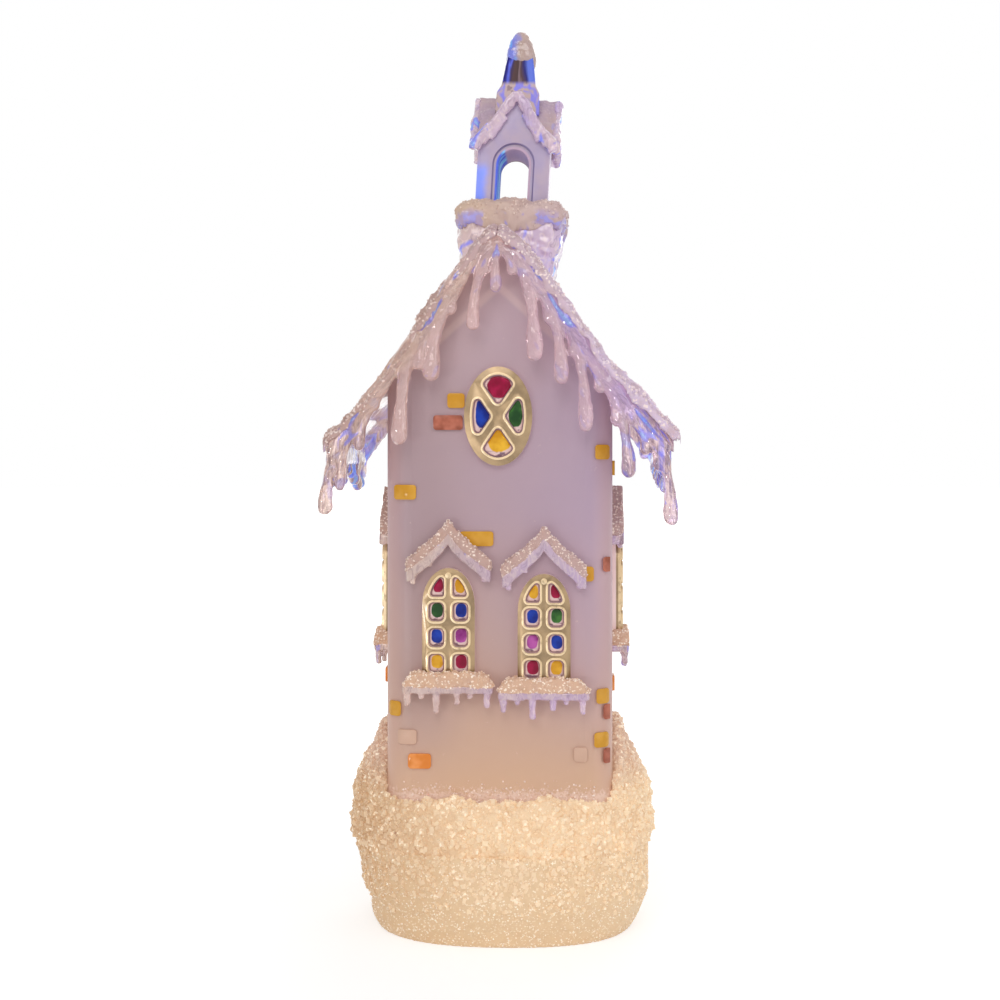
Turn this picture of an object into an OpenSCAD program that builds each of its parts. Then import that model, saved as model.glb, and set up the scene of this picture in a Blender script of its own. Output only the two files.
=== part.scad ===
// Battery-lit snowy church ornament of clear and frosted moulded plastic on a hollow snowy base.
// The front faces -Y, +Z is up, and the origin lies on the floor under the middle of the church.

/* [Base] */
// Greatest width of the moulded base
base_w = 98; // [92:1:108]
// Greatest depth of the moulded base
base_d = 84; // [80:1:92]
// Height of the base up to the ledge that carries the church
base_h = 30; // [29:1:36]
// Wall thickness of the moulded base
base_t = 2.4; // [1.8:0.2:3]
// Height over which the base draws in to its foot
foot_round_h = 19; // [14:1:22]
// Height of the locating rim inside the nave walls
rim_h = 6; // [4:1:9]
// Wall thickness of the locating rim
rim_t = 1.8; // [1.4:0.2:2.4]

/* [Snow drift] */
// Greatest width of the drift round the nave
drift_w = 103; // [100:1:112]
// Greatest depth of the drift
drift_d = 83; // [81:1:85]
// Height of the drift against the front and rear walls, above the ledge
drift_front_h = 18.5; // [14:0.5:24]
// Height of the drift against the side walls, above the ledge
drift_side_h = 39; // [30:1:46]
// Depth of the lumps in the drift
drift_lump = 1.2; // [0.4:0.1:1.6]

/* [Nave] */
// Width of the nave
wall_w = 74; // [68:1:78]
// Depth of the nave
wall_d = 66; // [62:1:68]
// Height of the eaves above the ledge
wall_h = 134; // [128:1:145]
// Thickness of the nave walls
wall_t = 2.2; // [1.8:0.2:2.8]
// Radius of the nave's upright corners
wall_corner_r = 9; // [6:0.5:11]
// Width of the lap across the seam between the half shells, to each side
lap_w = 3; // [2:0.5:5]
// Thickness of the lap lip
lap_t = 1; // [0.8:0.1:1.4]

/* [Roof] */
// Width of the roof over both eaves
roof_w = 112; // [108:1:118]
// Depth of the roof between the gable verges
roof_d = 77; // [74:1:80]
// Rise of the roof line that the ridge is rounded off from
roof_rise = 82; // [74:1:90]
// Upright thickness of the roof panels
roof_t = 4; // [3:0.5:5]
// Radius that softens the ridge
ridge_round = 9; // [6:0.5:11]
// Bell-cast power of the roof line, where 1 is straight
roof_sweep = 1.2; // [1.05:0.05:1.35]
// Upright thickness of the snow on the roof
snow_t = 3; // [2:0.25:4]
// Overhang of the roof snow past the eaves
snow_over = 1.4; // [1:0.1:2]

/* [Icicles] */
// Thickness of the icy band on the verges
band_t = 4; // [3:0.2:4.4]
// Height of the icy band on the verges
band_h = 8; // [6:0.5:10]
// Longest reach of a verge icicle below the roof line
icicle_reach = 31; // [24:1:36]
// Radius of a large icicle at its root
icicle_r = 2; // [1.6:0.1:2.4]
// Height of the icy band under the eaves
eave_band_h = 5; // [4:0.5:7]
// Longest icicle under the eaves
eave_icicle_l = 20; // [14:1:26]

/* [Belfry] */
// Shift of the belfry to the right of the middle, as on the photographed piece
belfry_shift = 2.6; // [0:0.2:4]
// Lean of the belfry to the right in degrees, as on the photographed piece
belfry_lean = 3.2; // [0:0.2:4]
// Width of the collar at its top
collar_w = 34; // [31:1:37]
// Width of the collar where it meets the roof
collar_foot_w = 28; // [27:1:30]
// Height of the collar above the ridge
collar_over = 8; // [6:0.5:10]
// Depth of the collar below the ridge
collar_under = 15; // [12:1:18]
// Height of the snow on the collar
collar_snow_h = 5.6; // [4.6:0.2:7]
// Width of the square belfry tower
tower_w = 24.4; // [22:0.4:26]
// Height of the tower from the collar to the eaves of its roof
tower_h = 25; // [23:0.5:28]
// Width of the arch through the tower
arch_w = 10.4; // [8:0.4:12]
// Height of the straight sides of the arch
arch_side_h = 12.6; // [10:0.2:13.4]
// Width of the bevelled surround on each side of the arch
arch_border = 1.7; // [1.2:0.1:2.2]
// Depth of the bevelled surround
arch_recess = 1.2; // [0.8:0.1:1.6]
// Width of the belfry roof
cross_w = 27.2; // [26:0.2:29]
// Rise of the belfry roof
cross_rise = 18; // [16:0.5:20]
// Upright thickness of the belfry roof
cross_t = 3; // [2.2:0.2:3.6]
// Thickness of the icy edging on the belfry gables
edging_t = 1.6; // [1.2:0.1:2]
// Height of the spire above the belfry roof
spire_h = 23.4; // [20:0.2:28]
// Width of the spire at its foot
spire_w = 14.6; // [13:0.2:16]

/* [Windows] */
// Width of an arched window
win_w = 17; // [15:0.5:19]
// Height of an arched window
win_h = 35; // [32:0.5:38]
// Rise of the window arch
win_rise = 12; // [9:0.5:14]
// Thickness of the gilded frames
frame_t = 2.2; // [1.8:0.2:3]
// Height of the moulded rim round each light
rim_lip = 0.5; // [0.3:0.1:0.8]
// Width of one light
light_w = 5.2; // [4.6:0.2:5.6]
// Height of one light under the arch
light_h = 6.2; // [5.4:0.2:6.6]
// Thickness of the enamel panes
pane_t = 1.4; // [1:0.2:1.8]
// Distance between the middles of the two front windows
win_pitch = 30.8; // [29:0.2:32]
// Height of the front windows above the ledge
front_win_h = 57.5; // [54:0.5:62]
// Height of the side windows above the ledge
side_win_h = 68; // [64:1:72]
// How much lower the right front window sits, as on the photographed piece
right_drop = 1.8; // [0:0.2:3]
// Width of the oval window
rose_w = 22; // [20:0.5:24]
// Height of the oval window
rose_h = 32; // [29:0.5:34]
// Height of the middle of the oval window above the ledge
rose_mid_h = 141.4; // [138:0.2:144]
// Width of a window hood
hood_w = 26.5; // [24.5:0.5:28]
// Height of the hood's peak above the window's arch
hood_over = 11.5; // [10:0.5:13]
// Drop of the hood from its peak to its ends
hood_drop = 12.5; // [10:0.5:14]
// Thickness of the hood's ice
hood_t = 3.4; // [2.6:0.2:4]
// Thickness of the snow on hoods
hood_snow_t = 3.6; // [2.8:0.2:4.4]
// Depth of hoods from the wall
hood_d = 4; // [3.4:0.2:4.8]
// Width of a window sill
sill_w = 28.4; // [26:0.2:29]
// Thickness of the icy sill
sill_t = 2; // [1.6:0.2:2.6]
// How far the top of the icy sill lies below the window's foot
sill_drop = 2.6; // [2:0.2:3.2]
// Depth of the sills from the wall
sill_d = 5.6; // [4.8:0.2:6.4]
// Height of the snow on a sill
sill_snow_h = 6; // [5:0.2:7]
// Longest drip of hoods and sills
drip_l = 8.5; // [6:0.5:10]
// Radius of a drip at its root
drip_r = 1.1; // [0.8:0.1:1.4]

/* [Bricks] */
// Height of a raised brick
brick_h = 4.8; // [4:0.2:5.4]
// Length of a whole brick
brick_l = 10.6; // [9:0.2:11]
// Height of the relief of a brick
brick_t = 0.8; // [0.5:0.1:1.1]
// Radius of a brick's corners
brick_r = 1; // [0.6:0.1:1.4]

/* [Battery bay] */
// Length of a cell with its nub
cell_l = 44.5; // [44:0.1:45]
// Diameter of a cell
cell_d = 10.5; // [10.2:0.1:10.6]
// Length of a contact spring
spring_l = 4; // [3.4:0.1:5]
// Thickness of the contact plates
contact_t = 0.4; // [0.3:0.1:0.5]
// Wall thickness of the battery bay
bay_t = 1.6; // [1.2:0.1:2]
// Thickness of the bottom plate
plate_t = 2.4; // [2.2:0.1:2.8]
// Height of the bottom plate above the floor
plate_z = 1.6; // [1.2:0.1:2]
// Thickness of the battery door
door_t = 2; // [1.8:0.1:2.2]
// Length of the door's screw tongue
tongue_l = 8; // [7.4:0.2:8.6]
// Width of the door's screw tongue
tongue_w = 12; // [10:0.5:13]
// Radius of the door's hinge stubs
stub_r = 0.6; // [0.5:0.05:0.7]
// Length of the door's hinge stubs
stub_l = 1.4; // [1.2:0.1:1.5]

/* [Fasteners and switch] */
// Radius of the screws' shanks
screw_r = 1.2; // [1:0.1:1.4]
// Radius of the screws' heads
screw_head_r = 2.3; // [2:0.1:2.5]
// Thickness of the screws' heads
screw_head_t = 1.2; // [1:0.1:1.3]
// Length of the plate screws' shanks
screw_l = 9; // [7:0.5:12]
// Length of the door screw's shank past the door
door_screw_l = 2.6; // [2.2:0.1:3]
// Travel of the switch knob
switch_travel = 3; // [2:0.5:4]
// Length of the switch knob
knob_l = 3; // [2.4:0.2:3.6]
// Width of the switch knob
knob_w = 3; // [2.4:0.2:3.6]

/* [Lamps] */
// Height of the lamp post
post_h = 52; // [40:1:70]
// Outer radius of the lamp post
post_r = 4.4; // [4:0.2:5]
// Radius of the lamp board
lamp_board_r = 9; // [8.4:0.2:10]
// Radius of a lamp
lamp_r = 2.5; // [2:0.1:3]
// Thickness of the circuit boards
board_t = 1.2; // [1:0.1:1.6]
// Radius of the lead wires
wire_r = 0.6; // [0.4:0.1:0.7]

/* [Hidden] */
$fn = 32;
// Overrun of every cut past the face that it opens
cut = 1;
// Clearance between pieces that slip together
slip = 0.2;
// Clearance round a hinge stub
pin_slip = 0.05;
// Clearance between pieces that pass each other
pass = 0.3;
// Points on a full turn of the small corners of lights and bricks
corner_fn = 16;

// Outline of the base in plan
base_square = 2.4;
foot_w_share = 0.857;
foot_d_share = 0.8;
foot_power = 1.6;
base_points = 56;
base_steps = 8;
half_wall = [wall_w / 2, wall_d / 2];
rim_half = [half_wall[0] - wall_t - slip, half_wall[1] - wall_t - slip];
rim_corner_r = wall_corner_r - wall_t - slip;
// Gap between the drift and the wall, which clears the rounded corners
drift_gap = 0.45;
crest_t = 1.2;
drift_points = 96;
drift_steps = 9;
// Distance between the middles of lumps up the drift, and their number round it
drift_lump_pitch = 15;
drift_lumps_round = 20;

// Roof line
half_roof = roof_w / 2;
roof_reach = sqrt(half_roof * half_roof + ridge_round * ridge_round);
eave_z = base_h + wall_h;
ridge_z = roof_line(0);
roof_steps = 14;
snow_rows = 12;

// Battery bay and door
cell_gap = 0.6;
bay_l = cell_l + spring_l + 2 * contact_t;
bay_w = 3 * (cell_d + cell_gap);
plate_top = plate_z + plate_t;
door_gap = 0.3;
cell_z = plate_z + door_t + door_gap + cell_d / 2;
bay_top = cell_z + cell_d / 2 + door_gap + bay_t;
door_end_x = bay_l / 2 + tongue_l;
door_screw_x = bay_l / 2 + tongue_l / 2 + bay_t / 2;
hinge_x = door_gap + door_t / 2 - bay_l / 2;
hinge_z = plate_z + door_t / 2;
// Screw bosses, midway between the long walls of the bay and the plate's edge: their place along the
// foot as a share of its half width, and their radius as a share of the room there
boss_x_share = 0.5;
boss_r_share = 0.31;
plate_half = base_half(0, base_t + slip);
boss_x = boss_x_share * plate_half[0];
boss_room = plate_half[1] * pow(1 - pow(boss_x_share, base_square), 1 / base_square) - bay_w / 2 - bay_t;
boss_y = bay_w / 2 + bay_t + boss_room / 2;
boss_r = boss_r_share * boss_room;
boss_h = 12;
// Thickness and length of the webs that hold the bosses to the base's wall
web_t = 2;
web_l = base_d / 2 - boss_y;
cell_pitch = cell_d + cell_gap;
nub_r = 1.9;
nub_l = 1;
spring_turns = 3;
spring_r = 2.8;
spring_wire_r = 0.35;
tab_w = 2;

// Switch on the underside, behind the bay
flange_t = 1;
switch_wall = 1.3;
switch_h = 5;
switch_l = knob_l + switch_travel + 2 * slip + 2 * switch_wall;
switch_w = knob_w + 2 * flange_t + 2 * slip + 2 * switch_wall;
switch_off_bay = 0.8;
switch_y = bay_w / 2 + bay_t + switch_w / 2 + switch_off_bay;
// Distance between the two leads of a pair
lead_pitch = 4;

// Boards, post and lamps
board_l = 20;
board_w = 26;
board_x = (board_l - bay_l) / 2;
pad_h = 1.4;
post_x = 8;
post_wall = 1.3;
post_flange_r = 9;
post_flange_t = 1.8;
lamp_place_r = 5;
lamp_h = 5;

// Hand-chosen shares of the half width, of the reach and of the root radius, from left to right
front_icicle_shares = [
    [-0.975, 0.82, 0.9], [-0.90, 0.74, 0.8], [-0.84, 0.5, 0.8], [-0.79, 0.72, 1], [-0.69, 0.46, 0.8],
    [-0.63, 0.5, 0.7], [-0.56, 0.99, 1.1], [-0.47, 0.6, 0.8], [-0.375, 0.85, 1.1], [-0.29, 0.55, 0.8],
    [-0.21, 0.6, 0.7], [-0.13, 0.92, 1], [0.0, 0.72, 0.9], [0.10, 0.52, 0.8], [0.225, 1, 1.1],
    [0.30, 0.62, 0.8], [0.375, 0.85, 1.1], [0.45, 0.56, 0.8], [0.515, 0.98, 1.1], [0.60, 0.5, 0.8],
    [0.68, 0.62, 0.9], [0.755, 0.9, 1], [0.83, 0.5, 0.8], [0.90, 0.66, 0.9], [0.975, 0.94, 1]];
// Shares of the half depth, of the eave icicle's length and of the root radius
eave_icicle_shares = [
    [-0.88, 0.9, 0.9], [-0.68, 0.6, 0.8], [-0.5, 0.8, 1], [-0.3, 0.45, 0.8], [-0.08, 0.75, 1],
    [0.12, 0.5, 0.8], [0.32, 0.85, 1], [0.52, 0.55, 0.8], [0.7, 0.7, 0.9], [0.88, 1, 0.9]];
// Radius and depth along an icicle, as shares of its root radius and length
icicle_profile_shares = [
    [0, 0], [1, 0], [0.92, 0.16], [0.74, 0.4], [0.58, 0.64], [0.56, 0.78], [0.66, 0.9], [0.48, 0.97], [0, 1]];

// Windows
foot_rail = 1.2;
col_bar = 2.6;
// Height of an arch light with the bar under it
arch_light_h = 8.9;
first_row_z = foot_rail + light_h / 2;
row_pitch = (win_h - arch_light_h - foot_rail) / 3;
col_pitch = light_w + col_bar;
light_r = 1.6;
border = 2;
pane_gap = 0.45;
light_lip_w = 0.7;
rose_border = 2.6;
rose_bar = 3.2;
rose_r = 1.4;
bead_r = 1;
// How far left of the middle the pair of windows sits
win_aside = 0.6;
front_win_xs = [-win_pitch / 2 - win_aside, win_pitch / 2 - win_aside];
// Colours of the lights, two to a row from the arch down: crimson, amber, green, blue and magenta
CRIMSON = 0;
AMBER = 1;
GREEN = 2;
BLUE = 3;
MAGENTA = 4;
light_colours = [[CRIMSON, AMBER], [GREEN, BLUE], [BLUE, MAGENTA], [AMBER, CRIMSON]];
rose_colours = [CRIMSON, BLUE, AMBER, GREEN];
// Places of hood drips and sill drips, as shares of the half width, and their lengths as shares
hood_drip_shares = [[-0.95, 0.24], [-0.5, 0.1], [0.96, 0.14]];
sill_drip_shares = [
    [-0.92, 0.5], [-0.6, 0.22], [-0.26, 0.75], [0.2, 0.42], [0.5, 0.2], [0.88, 0.55]];

// Bricks: wall (0 front, 1 right, 2 rear, 3 left), place along it as a share of its half width,
// height above the ledge as a share of the nave's height, and length as a share of a whole brick
amber_brick_shares = [
    [0, -0.37, 1.093, 0.53], [0, -0.82, 0.872, 0.7], [0, -0.19, 0.76, 1.03], [0, 0.908, 0.969, 0.45],
    [0, 0.912, 0.381, 0.4], [0, 0.9, 0.276, 0.45], [0, -0.912, 0.348, 0.4], [0, 0.79, 0.676, 0.3],
    [1, -0.6, 0.93, 0.9], [1, 0.62, 0.48, 1], [3, 0.3, 0.98, 1], [3, -0.66, 0.5, 0.9],
    [2, 0.5, 1.02, 0.9], [2, -0.9, 0.79, 0.7], [2, 0.1, 0.31, 1]];
copper_brick_shares = [
    [0, -0.44, 1.04, 0.9], [0, 0.955, 0.698, 0.3], [0, 0.958, 0.342, 0.3], [0, 0.958, 0.236, 0.3],
    [1, 0.7, 0.68, 0.8], [3, -0.62, 0.82, 0.9], [2, -0.45, 1.06, 0.9], [2, 0.72, 0.33, 0.7]];
orange_brick_shares = [
    [0, -0.69, 0.223, 0.7], [1, -0.55, 0.4, 0.8], [3, 0.6, 0.42, 0.8], [2, 0.6, 0.24, 0.8]];
clear_brick_shares = [[0, -0.8, 0.281, 0.6], [0, 0.717, 0.242, 0.42], [2, -0.3, 0.25, 0.8]];

// Height of the roof line over a place across the church
function roof_line(x) =
    eave_z + roof_rise * pow(max(0, 1 - sqrt(x * x + ridge_round * ridge_round) / roof_reach), roof_sweep);

// Distance from the middle to a squared oval, in a direction
function oval_reach(half, ang) =
    let (a = abs(cos(ang)) / half[0], b = abs(sin(ang)) / half[1])
    pow(pow(a, base_square) + pow(b, base_square), -1 / base_square);

// Distance from the middle to a rounded rectangle, in a direction
function rect_reach(half, r, ang) =
    let (c = abs(cos(ang)), s = abs(sin(ang)), cx = half[0] - r, cy = half[1] - r)
    c * cy >= s * half[0] ? half[0] / c
    : s * cx >= c * half[1] ? half[1] / s
    : let (dot = c * cx + s * cy) dot + sqrt(dot * dot - cx * cx - cy * cy + r * r);

function oval_ring(half, z) = [for (i = [0:base_points - 1])
    let (ang = 360 * i / base_points, d = oval_reach(half, ang)) [d * cos(ang), d * sin(ang), z]];

function rect_ring(half, r, z) = [for (i = [0:base_points - 1])
    let (ang = 360 * i / base_points, d = rect_reach(half, r, ang)) [d * cos(ang), d * sin(ang), z]];

// Half width and half depth of the base at a height, less an inset
function base_half(z, inset) =
    let (f = pow(1 - min(1, z / foot_round_h), foot_power))
    [base_w / 2 * (1 - (1 - foot_w_share) * f) - inset, base_d / 2 * (1 - (1 - foot_d_share) * f) - inset];

// Lumps that spread over a surface, from two turning angles in degrees
function lumps(a, b) =
    0.5 * sin(7 * a + 2 * b) + 0.3 * sin(13 * a - 3 * b + 40) + 0.2 * sin(23 * a + 5 * b + 70);

// Solid through rings of points; closed rings of rings make a ring-shaped solid
module loft(rings, closed = false) {
    n = len(rings[0]);
    m = len(rings);
    rows = closed ? m : m - 1;
    sides = [for (i = [0:rows - 1], j = [0:n - 1])
        let (k = (j + 1) % n, a = i * n, b = ((i + 1) % m) * n)
        each [[a + j, b + j, b + k], [a + j, b + k, a + k]]];
    caps = closed ? [] : [[for (j = [0:n - 1]) j], [for (j = [n - 1:-1:0]) (m - 1) * n + j]];
    polyhedron(points = [for (r = rings) each r], faces = concat(sides, caps), convexity = 10);
}

// Round tube along points, with its rings turned from a direction that no stretch runs along
module tube(path, r, across, sides = 6) {
    last = len(path) - 1;
    loft([for (i = [0:last])
        let (t = path[min(i + 1, last)] - path[max(i - 1, 0)], u = cross(across, t), v = cross(t, u))
        [for (k = [0:sides - 1])
            path[i] + r * (cos(360 * k / sides) * u / norm(u) + sin(360 * k / sides) * v / norm(v))]]);
}

// Smooth line through hand-chosen points
function smooth(p, steps) = [for (i = [0:len(p) - 2], k = [0:(i == len(p) - 2 ? steps : steps - 1)])
    let (t = k / steps, a = p[max(i - 1, 0)], b = p[i], c = p[i + 1], d = p[min(i + 2, len(p) - 1)])
    0.5 * (2 * b + (c - a) * t + (2 * a - 5 * b + 4 * c - d) * t * t + (3 * b - a - 3 * c + d) * t * t * t)];

module rounded_rect(size, r) { offset(r) square([size[0] - 2 * r, size[1] - 2 * r], center = true); }

// Upright outline, drawn across the church, given a depth along Y
module along_y(depth) { rotate([90, 0, 0]) linear_extrude(height = depth, center = true) children(); }

// Places children drawn flat on the outer face of a wall: 0 front, 1 right, 2 rear, 3 left
module on_wall(wall, u, z) {
    reach = wall % 2 == 0 ? half_wall[1] : half_wall[0];
    rotate([0, 0, 90 * wall]) translate([u, -reach, z]) rotate([90, 0, 0]) children();
}

// Windows of the church: two in front, two at the rear, left and right, as walls in quarter shares of
// a turn from the front, places along the wall and heights
window_wall_shares = [0, 0, 2, 2, 3, 1];
window_xs = concat(front_win_xs, front_win_xs, [0, 0]);
front_win_z = base_h + front_win_h;
side_win_z = base_h + side_win_h;
window_zs = [front_win_z, front_win_z - right_drop, front_win_z, front_win_z, side_win_z, side_win_z];

module on_window(k) { on_wall(window_wall_shares[k], window_xs[k], window_zs[k]) children(); }

// Moulded base
module base_shell() {
    outer = [for (k = [0:base_steps]) let (z = base_h * k / base_steps) oval_ring(base_half(z, 0), z)];
    rim = [
        rect_ring(rim_half, rim_corner_r, base_h),
        rect_ring(rim_half, rim_corner_r, base_h + rim_h),
        rect_ring([rim_half[0] - rim_t, rim_half[1] - rim_t], rim_corner_r - rim_t, base_h + rim_h),
        rect_ring([rim_half[0] - rim_t, rim_half[1] - rim_t], rim_corner_r - rim_t, base_h - base_t)];
    inner = [for (k = [0:base_steps])
        let (z = (base_h - base_t) * (1 - k / base_steps)) oval_ring(base_half(z, base_t), z)];
    color("wheat") difference() {
        union() {
            loft(concat(outer, rim, inner), closed = true);
            on_bosses() bore(boss_r, plate_top, plate_top + boss_h);
            intersection() {
                loft([for (k = [0:base_steps])
                    let (z = base_h * k / base_steps) oval_ring(base_half(z, base_t / 2), z)]);
                on_bosses(web_l / 2) block(web_t, web_l, plate_top, plate_top + boss_h);
            }
        }
        on_bosses() bore(screw_r + pin_slip, plate_top - cut, plate_z + screw_head_t + screw_l + slip);
    }
}

module on_bosses(out = 0) {
    for (sx = [-1, 1], sy = [-1, 1]) translate([sx * boss_x, sy * (boss_y + out), 0]) children();
}

// Coarse snow piled round the nave: its lumps, from -1 to 1, in a direction and at a height
function drift_lump_share(ang, up) = let (turn = 360 * up / drift_lump_pitch)
    0.65 * sin(drift_lumps_round * ang + 60 * sin(3 * ang)) * cos(turn + 80 * sin(2 * ang))
        + 0.35 * sin((drift_lumps_round - 7) * ang + turn + 40);

function drift_ring(t) = [for (i = [0:drift_points - 1])
    let (
        ang = 360 * i / drift_points,
        wall = rect_reach([half_wall[0] + drift_gap, half_wall[1] + drift_gap], wall_corner_r, ang) + crest_t,
        far = oval_reach([drift_w / 2, drift_d / 2], ang) - drift_lump,
        back = min(1, max(0, half_wall[1] + crest_t - abs(wall * sin(ang))) / (0.7 * half_wall[1])),
        rise = drift_front_h + (drift_side_h - drift_front_h) * back * back * (3 - 2 * back)
            + drift_lump * lumps(ang, 90),
        lump = drift_lump * drift_lump_share(ang, rise * t) * (1 - pow(t, 4)),
        d = wall + (far - wall) * (1 - pow(t, 3)) + lump)
    [d * cos(ang), d * sin(ang), base_h + rise * t]];

// Foot and inner side of the drift, which keep clear of the wall
function drift_inside(zs) = [for (i = [0:drift_points - 1])
    let (
        ang = 360 * i / drift_points,
        d = rect_reach([half_wall[0] + drift_gap, half_wall[1] + drift_gap], wall_corner_r, ang))
    [d * cos(ang), d * sin(ang), zs[i]]];

module snow_drift() {
    top = drift_ring(1);
    color("linen") loft(concat([for (k = [0:drift_steps]) drift_ring(k / drift_steps)],
        [drift_inside([for (p = top) p[2] - crest_t]), drift_inside([for (p = top) base_h])]), closed = true);
}

// Bottom plate with the battery bay
module base_plate() {
    color("gainsboro") difference() {
        union() {
            translate([0, 0, plate_z]) linear_extrude(height = plate_t)
                polygon([for (p = oval_ring(plate_half, 0)) [p[0], p[1]]]);
            block(bay_l + 2 * bay_t, bay_w + 2 * bay_t, plate_z, bay_top);
            block(2 * (door_end_x + bay_t) - bay_l, tongue_w + 2 * bay_t, plate_z,
                plate_z + door_t + door_gap + door_screw_l + bay_t, bay_l / 2);
            for (sx = [-1, 1])
                block(tab_w, board_w * 0.8, bay_top, bay_top + pad_h, board_x + sx * board_l * 0.4);
        }
        block(bay_l, bay_w, plate_z - cut, bay_top - bay_t);
        block(2 * (door_end_x + slip) - bay_l, tongue_w + 2 * slip, plate_z - cut,
            plate_z + door_t + door_gap, bay_l / 2);
        translate([door_screw_x, 0, 0])
            bore(screw_r + pass, plate_z, plate_z + door_t + door_gap + door_screw_l + slip);
        translate([hinge_x, 0, hinge_z]) rotate([90, 0, 0])
            cylinder(h = bay_w + 2 * stub_l + 2 * slip, r = stub_r + pin_slip, center = true);
        on_bosses() bore(screw_r + slip, plate_z - cut, plate_top + cut);
        on_bosses() bore(screw_head_r + slip, plate_z - cut, plate_z + screw_head_t);
        translate([0, switch_y, 0]) block(knob_l + switch_travel + 2 * slip, knob_w + 2 * slip, plate_z - cut,
            plate_top + cut, switch_travel / 2);
        for (s = [-1, 1]) block(contact_t + pass, tab_w + pass, bay_top - 2 * bay_t, bay_top + cut,
            s * (bay_l / 2 - contact_t / 2));
    }
}

// Upright bore or boss from one height to another
module bore(r, z0, z1) { translate([0, 0, z0]) cylinder(h = z1 - z0, r = r); }

// Block from one height to another, centred on X and Y
module block(l, w, z0, z1, x = 0) { translate([x - l / 2, -w / 2, z0]) cube([l, w, z1 - z0]); }

module battery_door() {
    color("gainsboro") difference() {
        union() {
            block(bay_l - 2 * door_gap - door_t / 2, bay_w - 2 * door_gap, plate_z, plate_z + door_t,
                door_t / 4);
            translate([hinge_x, 0, hinge_z]) rotate([90, 0, 0])
                cylinder(h = bay_w - 2 * door_gap, r = door_t / 2, center = true);
            block(2 * door_end_x - bay_l - 2 * door_gap, tongue_w - 2 * door_gap, plate_z,
                plate_z + door_t, bay_l / 2);
            translate([hinge_x, 0, hinge_z]) rotate([90, 0, 0])
                cylinder(h = bay_w + 2 * stub_l - 2 * slip, r = stub_r, center = true);
        }
        translate([door_screw_x, 0, 0]) {
            bore(screw_r + slip, plate_z - cut, plate_z + door_t + cut);
            bore(screw_head_r + slip, plate_z - cut, plate_z + screw_head_t);
        }
    }
}

// Pan-head screw with a cross recess, its head's face at the given height and its shank upwards
module screw(l) {
    color("silver") difference() {
        union() {
            cylinder(h = screw_head_t, r = screw_head_r);
            cylinder(h = screw_head_t + l, r = screw_r);
        }
        for (a = [0, 90]) rotate([0, 0, a])
            block(screw_head_r, screw_head_t / 3, -cut, screw_head_t / 2);
    }
}

module door_screw() {
    translate([door_screw_x, 0, plate_z]) screw(door_t - screw_head_t + door_gap + door_screw_l);
}

module plate_screws() { on_bosses() translate([0, 0, plate_z]) screw(screw_l); }

// Cells lie side by side along X and face alternate ways
module on_cells() {
    for (k = [-1:1]) translate([0, k * cell_pitch, cell_z]) mirror([k == 0 ? 0 : 1, 0, 0]) children();
}

module battery_cells() {
    color("darkslategray") on_cells()
        translate([-bay_l / 2 + contact_t + spring_l, 0, 0]) rotate([0, 90, 0]) {
            cylinder(h = cell_l - nub_l, r = cell_d / 2);
            cylinder(h = cell_l, r = nub_r);
        }
}

module contact_springs() {
    run = spring_l - 2 * spring_wire_r - slip;
    steps = 8 * spring_turns;
    color("silver") on_cells() translate([-bay_l / 2 + contact_t + spring_wire_r + slip / 2, 0, 0])
        tube([for (i = [0:steps]) let (ang = 360 * i / 8)
            [run * i / steps, spring_r * cos(ang), spring_r * sin(ang)]], spring_wire_r, [1, 0, 0]);
}

module contact_plates() {
    color("silver") for (s = [-1, 1]) translate([s * (bay_l / 2 - contact_t / 2), 0, 0]) {
        block(contact_t, bay_w - 2 * cell_gap, cell_z - cell_d / 3, bay_top - bay_t - slip);
        block(contact_t, tab_w, cell_z, bay_top + pad_h);
    }
}

// Slide switch: body on top of the bottom plate, knob through its slot
module switch_body() {
    color("dimgray") translate([0, switch_y, 0]) difference() {
        block(switch_l, switch_w, plate_top, plate_top + switch_h, switch_travel / 2);
        block(knob_l + switch_travel + 2 * slip, knob_w + 2 * flange_t + 2 * slip, plate_top - cut,
            plate_top + 2 * slip + flange_t, switch_travel / 2);
        block(knob_l + switch_travel + 2 * slip, knob_w + 2 * slip, plate_top,
            plate_top + switch_h - switch_wall, switch_travel / 2);
    }
}

module switch_knob() {
    color("black") translate([0, switch_y, 0]) difference() {
        union() {
            block(knob_l, knob_w, plate_z / 2, plate_top + switch_h - switch_wall - slip);
            block(knob_l, knob_w + 2 * flange_t, plate_top + slip, plate_top + slip + flange_t);
        }
        for (k = [-1:1]) block(knob_l / 8, knob_w + 2 * cut, 0, plate_z * 0.75, k * knob_l / 4);
    }
}

module control_board() {
    low = bay_top + pad_h;
    color("darkgreen") block(board_l, board_w, low, low + board_t, board_x);
    color("black") block(board_l * 0.4, board_w * 0.3, low + board_t, low + 2 * board_t, board_x);
}

module led_post() {
    color("white") translate([post_x, 0, bay_top]) difference() {
        union() {
            cylinder(h = post_flange_t, r = post_flange_r);
            cylinder(h = post_h, r = post_r);
        }
        translate([0, 0, -cut]) cylinder(h = post_h + 2 * cut, r = post_r - post_wall);
    }
}

lamp_board_z = bay_top + post_h;

module led_board() {
    color("white") translate([post_x, 0, lamp_board_z]) cylinder(h = board_t, r = lamp_board_r);
}

module led_lamps() {
    color("aliceblue") for (a = [90, 210, 330])
        translate([post_x + lamp_place_r * cos(a), lamp_place_r * sin(a), lamp_board_z + board_t])
            rotate_extrude() union() {
                square([lamp_r * 1.15, board_t]);
                square([lamp_r, lamp_h]);
                intersection() {
                    translate([0, lamp_h]) circle(lamp_r);
                    square([lamp_r, lamp_h + lamp_r]);
                }
            }
}

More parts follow.
